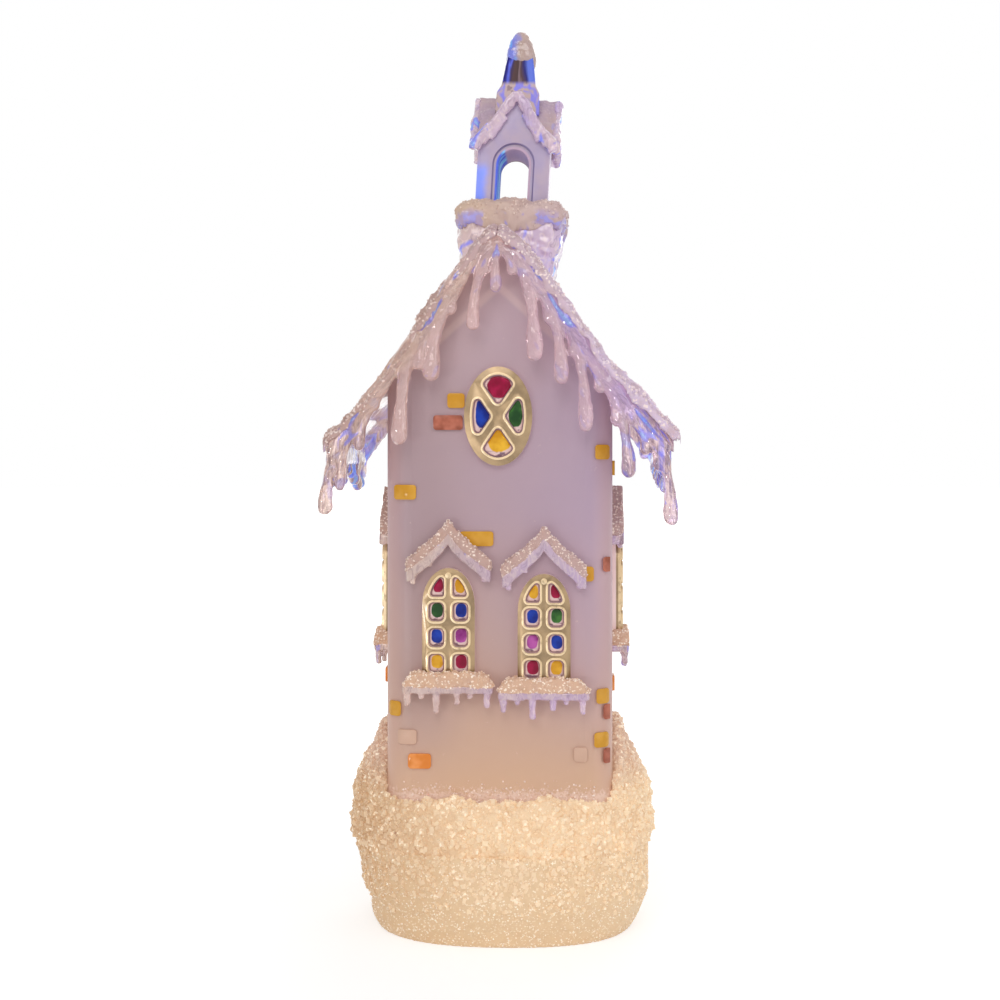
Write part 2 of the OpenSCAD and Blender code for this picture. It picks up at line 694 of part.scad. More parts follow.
// Wires inside the base and up beside the lamp post
module lead_wires() {
    tab_z = bay_top + pad_h;
    pad_z = tab_z + board_t + wire_r + slip;
    tab_x = bay_l / 2 - contact_t / 2;
    edge_x = board_x + board_l / 2;
    post_side = post_x - post_r - wire_r - slip;
    flange_y = post_flange_r + 2 * wire_r;
    half = lead_pitch / 2;
    color("firebrick") {
        tube(smooth([[tab_x, 0, tab_z], [tab_x - wire_r, 2 * wire_r, tab_z + 4 * wire_r],
            [(tab_x + post_x) / 2, flange_y * 0.8, pad_z + 2 * wire_r],
            [post_x, flange_y, pad_z + 2 * wire_r], [edge_x + 4 * wire_r, flange_y * 0.8, pad_z + 2 * wire_r],
            [edge_x - 4 * wire_r, flange_y * 0.55, pad_z]], 3), wire_r, [1, 1, 0]);
        for (s = [-1, 1]) tube(smooth([[switch_travel / 2 + s * half, switch_y, plate_top + switch_h],
            [switch_travel / 2 + s * half, switch_y, bay_top],
            [edge_x + s * half * 1.5, board_w * 0.6, pad_z + 2 * wire_r],
            [edge_x - board_l * 0.3 + s * half * 0.75, board_w * 0.3, pad_z]], 4), wire_r, [1, 0, 0]);
        for (y = [-half, half] * 1.3) tube(concat(smooth([[edge_x - board_l * 0.1, y, pad_z],
            [(edge_x + post_side) / 2, y, pad_z + wire_r], [post_side - wire_r, y, pad_z + 3 * wire_r],
            [post_side, y, pad_z + 8 * wire_r]], 3), [[post_side, y, lamp_board_z]]), wire_r, [0, 1, 0]);
    }
}

// Space above the underside of the roof
module above_roof_underside() {
    along_y(roof_d + 2 * cut) polygon(concat(
        [for (i = [-roof_steps:roof_steps]) let (x = half_roof * i / roof_steps) [x, roof_line(x) - roof_t]],
        [[half_roof, ridge_z + roof_t], [-half_roof, ridge_z + roof_t]]));
}

// Space below the upper side of the roof
module below_roof_line() {
    along_y(roof_d) polygon(concat(
        [for (i = [-roof_steps:roof_steps]) let (x = half_roof * i / roof_steps) [x, roof_line(x)]],
        [[half_roof, base_h], [-half_roof, base_h]]));
}

module wall_ring(height) {
    linear_extrude(height = height) difference() {
        rounded_rect([wall_w, wall_d], wall_corner_r);
        rounded_rect([wall_w - 2 * wall_t, wall_d - 2 * wall_t], wall_corner_r - wall_t);
    }
}

// Half shell of the nave with its gable, for the front
module half_shell() {
    difference() {
        translate([0, 0, base_h]) intersection() {
            wall_ring(ridge_z - base_h);
            translate([-wall_w, -wall_d, 0]) cube([2 * wall_w, wall_d, ridge_z]);
        }
        above_roof_underside();
    }
}

// Lips that lap inside the front half shell along the seams
module seam_lips() {
    inner_x = half_wall[0] - wall_t;
    foot = base_h + rim_h + slip;
    top = roof_line(half_wall[0]) - roof_t;
    for (s = [0, 1]) mirror([s, 0, 0]) {
        translate([inner_x - lap_t - slip, -lap_w, foot]) cube([lap_t, 2 * lap_w, top - foot]);
        translate([inner_x - lap_t - slip, 0, foot]) cube([lap_t + slip + wall_t / 2, lap_w, top - foot]);
    }
}

module front_wall() { color("thistle") half_shell(); }

module rear_wall() {
    color("thistle") union() {
        mirror([0, 1, 0]) half_shell();
        seam_lips();
    }
}

// Clear roof panel on the right
module roof_panel() {
    along_y(roof_d) polygon(concat(
        [for (i = [0:roof_steps]) let (x = half_roof * i / roof_steps) [x, roof_line(x)]],
        [for (i = [roof_steps:-1:0]) let (x = half_roof * i / roof_steps) [x, roof_line(x) - roof_t]]));
}

module roof_left() { color("lavender") mirror([1, 0, 0]) roof_panel(); }

module roof_right() { color("lavender") roof_panel(); }

// Granular snow over one panel and its verge bands, cut away round the collar
function snow_ring(y, turn) = concat(
    [for (i = [0:roof_steps]) let (x = half_roof * i / roof_steps) [x, y, roof_line(x)]],
    [[half_roof + snow_over, y, eave_z - roof_t / 4], [half_roof + snow_over, y, eave_z + snow_t / 3]],
    [for (i = [roof_steps:-1:0])
        let (x = half_roof * i / roof_steps, lift = 0.75 + 0.25 * lumps(720 * y / roof_d + turn, 30 * i))
        [x, y, roof_line(x) + snow_t * lift]]);

module roof_snow(turn) {
    reach = roof_d / 2 + band_t;
    difference() {
        loft([for (k = [0:snow_rows]) snow_ring(reach * (1 - 2 * k / snow_rows), turn)]);
        children();
    }
}

module roof_snow_left() {
    color("snow") mirror([1, 0, 0]) roof_snow(70) mirror([1, 0, 0]) collar_block(pass);
}

module roof_snow_right() { color("snow") roof_snow(0) collar_block(pass); }

// Round icicle that hangs from the origin
module icicle(l, r) { rotate_extrude() polygon([for (p = icicle_profile_shares) [r * p[0], -l * p[1]]]); }

// Icy band along a verge with its icicles, for the front
module verge_icicles() {
    mid_y = -roof_d / 2 - band_t / 2;
    translate([0, mid_y, 0]) along_y(band_t) polygon(concat(
        [for (i = [-roof_steps:roof_steps]) let (x = half_roof * i / roof_steps) [x, roof_line(x)]],
        [for (i = [2 * roof_steps:-1:-2 * roof_steps]) let (x = half_roof * i / roof_steps / 2)
            [x, roof_line(x) - band_h * (0.82 + 0.18 * sin(250 * i))]]));
    for (p = front_icicle_shares) {
        r = icicle_r * p[2];
        x = p[0] * (half_roof - icicle_r);
        translate([x, -roof_d / 2 - max(r, band_t / 2), roof_line(x) - band_h / 2])
            icicle(icicle_reach * p[1] - band_h / 2, r);
    }
}

module front_icicles() { color("lightsteelblue") verge_icicles(); }

module rear_icicles() { color("lightsteelblue") rotate([0, 0, 180]) verge_icicles(); }

// Icy band under an eave with its icicles, for the right
module eave_icicles() {
    mid_x = half_roof - band_t / 2;
    run = roof_d - 2 * slip;
    difference() {
        translate([half_roof - band_t, -run / 2, eave_z - roof_t - eave_band_h])
            cube([band_t, run, eave_band_h + roof_t]);
        above_roof_underside();
    }
    for (p = eave_icicle_shares) translate([mid_x, p[0] * run / 2, eave_z - roof_t - eave_band_h / 2])
        icicle(eave_icicle_l * p[1], band_t / 2 * p[2]);
}

module left_icicles() { color("lightsteelblue") mirror([1, 0, 0]) eave_icicles(); }

module right_icicles() { color("lightsteelblue") eave_icicles(); }

// Frame of the belfry: its origin is on the ridge
module on_ridge() { translate([belfry_shift, 0, ridge_z]) rotate([0, belfry_lean, 0]) children(); }

// Corbelled block of the collar, grown on all sides by a gap
module collar_block(gap) {
    on_ridge() hull() {
        translate([0, 0, -collar_under]) linear_extrude(height = collar_under / 3)
            rounded_rect([collar_foot_w + 2 * gap, collar_foot_w + 2 * gap], collar_foot_w / 8);
        linear_extrude(height = collar_over)
            rounded_rect([collar_w + 2 * gap, collar_w + 2 * gap], collar_w / 8);
    }
}

module collar() { color("lavender") difference() { collar_block(0); below_roof_line(); } }

// Snow on the collar: a skirt over its edge and a thick bed round the tower's foot
// Widening past the collar and height over its top, as shares of the snow's height
collar_snow_shares = [[0.1, -0.62], [0.22, -0.2], [0.26, 0.25], [0.16, 0.7], [-0.14, 1]];

module collar_snow() {
    half = collar_w / 2;
    turns = [0:5:355];
    outer = [for (p = collar_snow_shares) [for (ang = turns)
        let (
            d = rect_reach([half, half], collar_w / 8, ang)
                + collar_snow_h * (p[0] + 0.07 * lumps(ang, 90 * p[1])),
            z = collar_over + collar_snow_h * (p[1] + 0.05 * lumps(2 * ang, 50)))
        [d * cos(ang), d * sin(ang), z]]];
    tower_half = [tower_w / 2 + slip, tower_w / 2 + slip];
    edge_half = [half + slip, half + slip];
    bed = [for (z = [collar_snow_h * 0.96, 0]) [for (ang = turns) let (d = rect_reach(tower_half, slip, ang))
        [d * cos(ang), d * sin(ang), collar_over + z]]];
    skirt = [for (z = [0, -0.55 * collar_snow_h]) [for (ang = turns)
        let (d = rect_reach(edge_half, collar_w / 8, ang)) [d * cos(ang), d * sin(ang), collar_over + z]]];
    color("snow") on_ridge() loft(concat(outer, bed, skirt), closed = true);
}

tower_top = collar_over + tower_h;
cross_top = tower_top + cross_rise;
cross_slope = cross_rise / (cross_w / 2);

// Two crossing gables of a half width, down to a height
module cross_gables(apex, half, foot) {
    drop = apex - foot;
    for (a = [0, 90]) rotate([0, 0, a]) along_y(2 * half)
        polygon([[-drop / cross_slope, foot], [drop / cross_slope, foot], [0, apex]]);
}

module arch_outline(w) {
    translate([-w / 2, 0]) square([w, arch_side_h]);
    translate([0, arch_side_h]) circle(w / 2);
}

module belfry_tower() {
    half = tower_w / 2;
    apex = cross_top - cross_t;
    sill_z = collar_over + collar_snow_h;
    color("thistle") on_ridge() difference() {
        union() {
            block(tower_w, tower_w, collar_over, apex - half * cross_slope);
            intersection() {
                cross_gables(apex, half, tower_top - cross_t);
                block(tower_w, tower_w, collar_over, apex);
            }
        }
        translate([0, 0, sill_z]) along_y(tower_w + 2 * cut) arch_outline(arch_w);
        for (s = [-1, 1]) translate([0, s * half, sill_z])
            along_y(2 * arch_recess) arch_outline(arch_w + 2 * arch_border);
    }
}

module belfry_roof() {
    color("lavender") on_ridge() difference() {
        cross_gables(cross_top, cross_w / 2, tower_top);
        cross_gables(cross_top - cross_t, cross_w / 2 + cut, tower_top - cut);
    }
}

// Places of the belfry's icicles as shares of the half width, and lengths as shares of a long drip
belfry_icicle_shares = [[-0.9, 0.46], [-0.6, 0.5], [-0.28, 0.46], [0.3, 0.52], [0.6, 0.48], [0.9, 0.6]];

module belfry_icicles() {
    half = cross_w / 2;
    foot_x = half - cross_t / cross_slope;
    color("lightsteelblue") on_ridge() for (a = [0, 90, 180, 270]) rotate([0, 0, a])
        translate([0, -half - edging_t / 2, 0]) {
            along_y(edging_t) polygon([[-half, tower_top], [-foot_x, tower_top],
                [0, cross_top - cross_t * 1.6], [foot_x, tower_top], [half, tower_top], [0, cross_top]]);
            for (p = belfry_icicle_shares)
                translate([p[0] * half, 0, cross_top - cross_t / 3 - abs(p[0]) * half * cross_slope])
                    icicle(drip_l * p[1], edging_t / 2);
        }
}

// Half widths of the spire at heights, as shares of its foot and of its height
spire_shares = [[1.04, -0.3], [1, 0.02], [0.8, 0.14], [0.66, 0.45], [0.5, 0.72], [0.36, 0.82]];

module spire_shaft() {
    loft([for (p = spire_shares) let (h = spire_w / 2 * p[0], z = cross_top + spire_h * p[1])
        [[h, -h, z], [h, h, z], [-h, h, z], [-h, -h, z]]]);
}

module spire() {
    color("slateblue") on_ridge() difference() {
        spire_shaft();
        cross_gables(cross_top, cross_w, tower_top);
    }
}

// Half widths and heights of the snow cap over the spire's tip, as shares of the spire's foot and height
cap_shares = [[0.72, 0.5], [0.77, 0.56], [0.68, 0.66], [0.5, 0.8], [0.34, 0.92], [0.14, 1]];

module spire_snow() {
    color("snow") on_ridge() difference() {
        loft([for (p = cap_shares) let (half = spire_w / 2 * p[0]) [for (ang = [0:15:345])
            let (d = rect_reach([half, half], half * 0.7, ang) * (1 + 0.04 * sin(3 * ang + 40)))
            [d * cos(ang), d * sin(ang), cross_top + spire_h * p[1]]]]);
        spire_shaft();
    }
}

// Arched outline of a window, standing on the origin, less an inset
module window_outline(inset) {
    half = win_w / 2 - inset;
    rise = win_rise - inset;
    foot = win_h - win_rise;
    polygon(concat([[half, inset], [half, foot]],
        [for (a = [10:10:170]) [half * cos(a), foot + rise * sin(a)]], [[-half, foot], [-half, inset]]));
}

// Outline of one light: row 0 is in the arch
module light_outline(row, col, grow) {
    x = (col - 0.5) * col_pitch;
    if (row > 0) translate([x, first_row_z + (3 - row) * row_pitch]) offset(grow, $fn = corner_fn)
        rounded_rect([light_w, light_h], light_r, $fn = corner_fn);
    else offset(grow, $fn = corner_fn) offset(bead_r, $fn = corner_fn) offset(-bead_r) intersection() {
        window_outline(border);
        translate([x - light_w / 2 - (col == 0 ? light_w : 0), first_row_z + 2.5 * row_pitch + border / 3])
            square([2 * light_w, win_h]);
    }
}

module window_frame(k) {
    color("goldenrod") on_window(k) difference() {
        union() {
            linear_extrude(height = frame_t) window_outline(0);
            for (row = [0:3], col = [0, 1])
                linear_extrude(height = frame_t + rim_lip) light_outline(row, col, light_lip_w);
            translate([0, win_h - border * 1.2, 0]) cylinder(h = frame_t + rim_lip, r = bead_r);
        }
        for (row = [0:3], col = [0, 1])
            translate([0, 0, -cut]) linear_extrude(height = frame_t + 2 * cut) light_outline(row, col, 0);
    }
}

// Oval outline less an inset
module rose_outline(inset) {
    polygon([for (a = [0:9:351]) [(rose_w / 2 - inset) * cos(a), (rose_h / 2 - inset) * sin(a)]]);
}

// One of the four lights of the oval window, from the top round to the left
module rose_light(q, grow) {
    reach = rose_h;
    diag = atan2(rose_h, rose_w);
    corners = [diag, 180 - diag, 180 + diag, 360 - diag, 360 + diag];
    a = corners[q];
    b = corners[q + 1];
    mid = (a + b) / 2;
    gap = rose_bar / 2 / sin((b - a) / 2);
    offset(grow, $fn = corner_fn) offset(rose_r, $fn = corner_fn) offset(-rose_r) intersection() {
        rose_outline(rose_border);
        translate([gap * cos(mid), gap * sin(mid)])
            polygon([[0, 0], [reach * cos(a), reach * sin(a)], [2 * reach * cos(mid), 2 * reach * sin(mid)],
                [reach * cos(b), reach * sin(b)]]);
    }
}

module on_rose(wall) { on_wall(wall, 0, base_h + rose_mid_h) children(); }

module rose_frame(wall) {
    color("goldenrod") on_rose(wall) difference() {
        union() {
            linear_extrude(height = frame_t) rose_outline(0);
            for (q = [0:3]) linear_extrude(height = frame_t + rim_lip) rose_light(q, light_lip_w);
        }
        for (q = [0:3]) translate([0, 0, -cut]) linear_extrude(height = frame_t + 2 * cut) rose_light(q, 0);
    }
}

// All panes of one colour; the second window of a pair mirrors the first
module panes(colour) {
    for (k = [0:5], row = [0:3], col = [0, 1])
        if (light_colours[row][k % 2 == 0 ? col : 1 - col] == colour)
            on_window(k) linear_extrude(height = pane_t) light_outline(row, col, -pane_gap);
    for (wall = [0, 2], q = [0:3]) if (rose_colours[q] == colour)
        on_rose(wall) linear_extrude(height = pane_t) rose_light(q, -pane_gap);
}

// Line of a hood above its window, and the band between two lifts of it
function hood_line(x) = win_h + hood_over - hood_drop * pow(abs(x) / (hood_w / 2), 0.8);

module hood_band(low, high) {
    steps = 8;
    half = hood_w / 2;
    polygon(concat([for (i = [-steps:steps]) let (x = half * i / steps) [x, hood_line(x) + low]],
        [for (i = [steps:-1:-steps]) let (x = half * i / steps) [x, hood_line(x) + high]]));
}

module window_hoods() {
    color("lightsteelblue") for (k = [0:5]) on_window(k) {
        linear_extrude(height = hood_d) hood_band(-hood_t, 0);
        for (p = hood_drip_shares) let (x = p[0] * (hood_w / 2 - drip_r))
            translate([x, hood_line(x) - hood_t / 2, hood_d - drip_r]) rotate([-90, 0, 0])
                icicle(hood_t / 2 + drip_l * p[1], drip_r);
    }
}

module hood_snow() {
    color("snow") for (k = [0:5]) on_window(k) linear_extrude(height = hood_d) hood_band(0, hood_snow_t);
}

module sill_icicles() {
    color("lightsteelblue") for (k = [0:5]) on_window(k) {
        translate([-sill_w / 2, -sill_drop - sill_t - slip, 0]) cube([sill_w, sill_t, sill_d]);
        for (p = sill_drip_shares)
            translate([p[0] * sill_w / 2, -sill_drop - sill_t / 2 - slip, sill_d - drip_r])
                rotate([-90, 0, 0]) icicle(sill_t / 2 + drip_l * p[1], drip_r);
    }
}

// Upper outline of the snow on a sill, at a share of its half width
function sill_snow_line(f) = sill_snow_h * sqrt(max(0, 1 - pow(f, 6))) * (0.66 + 0.12 * lumps(360 * f, 20));

module sill_snow() {
    half = sill_w / 2;
    steps = 12;
    color("snow") for (k = [0:5]) on_window(k) difference() {
        translate([0, -sill_drop, 0]) linear_extrude(height = sill_d + slip) polygon(concat(
            [[half, -slip], [half + sill_t / 4, sill_t / 2]],
            [for (i = [steps:-1:-steps]) [half * 0.98 * i / steps, sill_snow_line(i / steps)]],
            [[-half - sill_t / 4, sill_t / 2], [-half, -slip]]));
        translate([0, 0, -cut]) linear_extrude(height = frame_t + rim_lip + slip + cut)
            offset(slip) window_outline(0);
    }
}

// Raised bricks: pieces of a skin round the nave
module bricks(shares) difference() {
    for (p = shares) {
        half_u = p[0] % 2 == 0 ? half_wall[0] : half_wall[1];
        reach = p[0] % 2 == 0 ? half_wall[1] : half_wall[0];
        translate([0, 0, base_h + wall_h * p[2]]) intersection() {
            translate([0, 0, -brick_h / 2]) linear_extrude(height = brick_h) difference() {
                rounded_rect([wall_w + 2 * brick_t, wall_d + 2 * brick_t], wall_corner_r + brick_t);
                rounded_rect([wall_w, wall_d], wall_corner_r);
            }
            rotate([0, 0, 90 * p[0]]) translate([p[1] * half_u, wall_corner_r * 0.4 - reach, 0])
                rotate([90, 0, 0]) linear_extrude(height = wall_corner_r)
                    rounded_rect([brick_l * p[3], brick_h], brick_r, $fn = corner_fn);
        }
    }
    for (k = [0:5]) on_window(k) translate([0, 0, -cut])
        linear_extrude(height = hood_d + cut) offset(delta = pass) hood_band(-hood_t, hood_snow_t);
}

base_shell();
snow_drift();
base_plate();
battery_door();
door_screw();
plate_screws();
battery_cells();
contact_springs();
contact_plates();
switch_body();
switch_knob();
control_board();
led_post();
led_board();
led_lamps();
lead_wires();
front_wall();
rear_wall();
roof_left();
roof_right();
roof_snow_left();
roof_snow_right();
front_icicles();
rear_icicles();
left_icicles();
right_icicles();
collar();
collar_snow();
belfry_tower();
belfry_roof();
belfry_icicles();
spire();
spire_snow();
rose_frame(0);  // front_rose_frame
rose_frame(2);  // rear_rose_frame
window_frame(0);  // front_window_left
window_frame(1);  // front_window_right
window_frame(3);  // rear_window_left
window_frame(2);  // rear_window_right
window_frame(4);  // side_window_left
window_frame(5);  // side_window_right
color("crimson") panes(CRIMSON);  // panes_crimson
color("mediumblue") panes(BLUE);  // panes_blue
color("green") panes(GREEN);  // panes_green
color("orange") panes(AMBER);  // panes_amber
color("mediumvioletred") panes(MAGENTA);  // panes_magenta
window_hoods();
hood_snow();
sill_icicles();
sill_snow();
color("goldenrod") bricks(amber_brick_shares);  // bricks_amber
color("indianred") bricks(copper_brick_shares);  // bricks_copper
color("darkorange") bricks(orange_brick_shares);  // bricks_orange
color("lavender") bricks(clear_brick_shares);  // bricks_clear
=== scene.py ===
"""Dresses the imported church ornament: frosted nave, clear ice, granular snow, gilded windows."""
import math
import random

import bmesh
import bpy
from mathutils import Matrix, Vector, noise


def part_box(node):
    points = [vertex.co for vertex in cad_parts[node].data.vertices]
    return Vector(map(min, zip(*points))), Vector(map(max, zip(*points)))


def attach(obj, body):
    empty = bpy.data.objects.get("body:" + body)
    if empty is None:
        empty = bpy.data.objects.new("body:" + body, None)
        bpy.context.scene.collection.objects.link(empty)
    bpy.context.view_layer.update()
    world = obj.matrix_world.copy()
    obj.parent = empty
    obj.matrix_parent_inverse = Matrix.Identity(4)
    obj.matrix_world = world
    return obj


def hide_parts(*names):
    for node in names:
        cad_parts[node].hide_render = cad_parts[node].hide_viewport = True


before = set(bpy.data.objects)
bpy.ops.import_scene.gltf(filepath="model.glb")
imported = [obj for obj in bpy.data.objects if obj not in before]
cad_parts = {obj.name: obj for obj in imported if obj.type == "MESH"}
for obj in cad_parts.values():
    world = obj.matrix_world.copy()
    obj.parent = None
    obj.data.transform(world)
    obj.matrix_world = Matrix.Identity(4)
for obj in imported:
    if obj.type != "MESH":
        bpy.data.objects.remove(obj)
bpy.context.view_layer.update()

bl_info = {
    "name": "Lit snowy church ornament",
    "version": (1, 0, 0),
    "blender": (4, 5, 0),
    "location": "View3D > Sidebar > Church",
    "description": "Dresses a moulded church ornament with ice, snow, gilt and enamel",
    "category": "Object",
}

MM = 0.001
CHURCH = "church"
HALF_ROOF, HALF_DEPTH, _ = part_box("roof_right")[1]
WALL_LOW, WALL_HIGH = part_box("front_wall")
FRINGE_LOW, FRINGE_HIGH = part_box("front_icicles")
DRIFT_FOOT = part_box("snow_drift")[0].z


def linear(r, g, b):
    """Colour written as it looks on screen, in 0 to 255, as the shader's linear colour."""
    def one(c):
        c /= 255
        return c / 12.92 if c <= 0.04045 else ((c + 0.055) / 1.055) ** 2.4
    return (one(r), one(g), one(b), 1.0)


def in_socket(colour):
    """A colour as a socket takes it: three numbers are one as it looks on screen."""
    return linear(*colour) if isinstance(colour, tuple) and len(colour) == 3 else colour


def roof_top_points():
    """Upper line of the clear roof at the front verge, from the ridge to the eave."""
    best = {}
    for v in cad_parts["roof_right"].data.vertices:
        if v.co.y < MM - HALF_DEPTH:
            key = round(v.co.x / MM, 1)
            best[key] = max(best.get(key, 0), v.co.z)
    return sorted((x * MM, z) for x, z in best.items())


ROOF_LINE = roof_top_points()
ROOF_TOP = ROOF_LINE[0][1]
EAVE_X, EAVE_Z = ROOF_LINE[-1]
# Direction down the right-hand slope of the roof, from its ridge to its eave
SLOPE = (Vector((EAVE_X, 0, EAVE_Z)) - Vector((0, 0, ROOF_TOP))).normalized()
SLOPE.z = abs(SLOPE.z)
SPIRE_LOW, SPIRE_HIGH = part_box("spire")
HALF_NAVE = Vector((WALL_HIGH.x, -WALL_LOW.y, 0))
# How far the faces of the gilded frames stand out from the wall
FRAME_T = 2.2 * MM
# Frame of the belfry: it stands a little to the right of the ridge and leans with it
BELFRY_SHIFT = 2.6 * MM
BELFRY_LEAN = math.radians(3.2)
# Height over the ridge where the belfry's arch turns round, and half the width of its border
ARCH_SPRING = (13.6 + 12.6) * MM
ARCH_OUTER = (10.4 / 2 + 1.7) * MM
TOWER_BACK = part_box("belfry_tower")[1].y
SPIRE_MID_X = (SPIRE_LOW.x + SPIRE_HIGH.x) / 2


def roof_z(x):
    """Height of the roof's upper face at a distance from the middle."""
    x = min(abs(x), HALF_ROOF)
    for (x0, z0), (x1, z1) in zip(ROOF_LINE, ROOF_LINE[1:]):
        if x <= x1:
            return z0 + (z1 - z0) * (x - x0) / max(x1 - x0, 1e-9)
    return EAVE_Z


def colour_setting(name, description, *colour):
    """Setting of a colour, written as it looks on screen."""
    return bpy.props.FloatVectorProperty(name=name, description=description, subtype="COLOR",
                                         size=4, min=0, max=1, default=linear(*colour))


def length_setting(name, description, default, low, high):
    """Setting of a length, given in millimetres."""
    return bpy.props.FloatProperty(name=name, description=description, default=default * MM,
                                   min=low * MM, max=high * MM, unit="LENGTH")


class IceSettings(bpy.types.PropertyGroup):
    finger_r: length_setting("Finger radius", "Radius of a large ice finger at its drop",
                             2.45, 1, 3.5)
    voxel: length_setting("Voxel", "Cell size at which ice pieces are fused", 0.5, 0.3, 1)
    tint: colour_setting("Tint", "Colour of the clear ice", 206, 180, 166)
    glow: colour_setting("Glow", "Colour of the lamp light caught in the ice", 116, 124, 250)


class SnowSettings(bpy.types.PropertyGroup):
    grain: length_setting("Grain", "Largest radius of a snow grain on the roof", 0.6, 0.3, 2)
    flake: length_setting("Flake", "Largest radius of a flake on the drift", 1.1, 0.6, 4)
    roof_density: bpy.props.FloatProperty(
        name="Roof density", description="Grains on a square metre of roof",
        default=900000, min=1000, max=3000000)
    drift_density: bpy.props.FloatProperty(
        name="Drift density", description="Flakes on a square metre of drift",
        default=700000, min=1000, max=3000000)
    roof_colour: colour_setting("Roof snow", "Colour of the granular snow", 173, 143, 133)
    base_colour: colour_setting("Base snow", "Colour of the warm snow on the base", 227, 201, 168)


class PaintSettings(bpy.types.PropertyGroup):
    frost_foot: colour_setting("Frost foot", "Colour of the frosted wall near the snow",
                               200, 162, 132)
    frost_low: colour_setting("Frost low", "Colour of the frosted wall under the windows",
                              179, 148, 136)
    frost_top: colour_setting("Frost top", "Colour of the frosted wall under the roof",
                              182, 157, 163)
    gold: colour_setting("Gold", "Colour of the gilded frames", 244, 222, 186)


class StageSettings(bpy.types.PropertyGroup):
    distance: length_setting("Distance", "Distance of the camera from the middle of the church",
                             517, 200, 3000)
    height: length_setting("Height", "Height of the camera above the floor", 160.5, 0, 1000)
    azimuth: bpy.props.FloatProperty(
        name="Azimuth", description="Angle of the camera to the right of the front",
        default=math.radians(2.6), min=-math.pi, max=math.pi, subtype="ANGLE", unit="ROTATION")
    lens: bpy.props.FloatProperty(
        name="Lens", description="Focal length in millimetres on a 36 mm sensor",
        default=53.95, min=20, max=200)
    horizon: bpy.props.FloatProperty(
        name="Horizon", description="Shift that sets the horizon above the middle of the picture",
        default=-0.05, min=-0.2, max=0.2)
    aside: bpy.props.FloatProperty(
        name="Aside", description="Shift that sets the church right of the middle of the picture",
        default=-0.003, min=-0.1, max=0.1)


def add_node(tree, kind, values=None, **settings):
    """Adds a node with its settings, and with values or links in its sockets."""
    made = tree.nodes.new(kind)
    for key, value in settings.items():
        setattr(made, key, value)
    for key, value in (values or {}).items():
        if isinstance(value, bpy.types.NodeSocket):
            tree.links.new(value, made.inputs[key])
        else:
            made.inputs[key].default_value = value
    return made


class Sock:
    """A shader socket that Python expressions can be built from."""

    def __init__(self, finish, socket):
        self.finish = finish
        self.socket = socket

    def maths(self, operation, *values):
        return self.finish.node("ShaderNodeMath", dict(enumerate(values)), operation=operation)

    def __add__(self, other):
        return self.maths("ADD", self, other)

    def __sub__(self, other):
        return self.maths("SUBTRACT", self, other)

    def __rsub__(self, other):
        return self.maths("SUBTRACT", other, self)

    def __mul__(self, other):
        return self.maths("MULTIPLY", self, other)

    def __truediv__(self, other):
        return self.maths("DIVIDE", self, other)

    def __abs__(self):
        return self.maths("ABSOLUTE", self)

    def __pow__(self, power):
        return self.maths("POWER", self, power)

    __radd__ = __add__
    __rmul__ = __mul__

    def most(self, other):
        """The larger of two values."""
        return self.maths("MAXIMUM", self, other)

    def smooth(self, low, high):
        """0 below low, 1 above high, and an even rise between."""
        return self.finish.node("ShaderNodeMapRange", {0: self, 1: low, 2: high, 3: 0.0, 4: 1.0},
                                interpolation_type="SMOOTHSTEP")


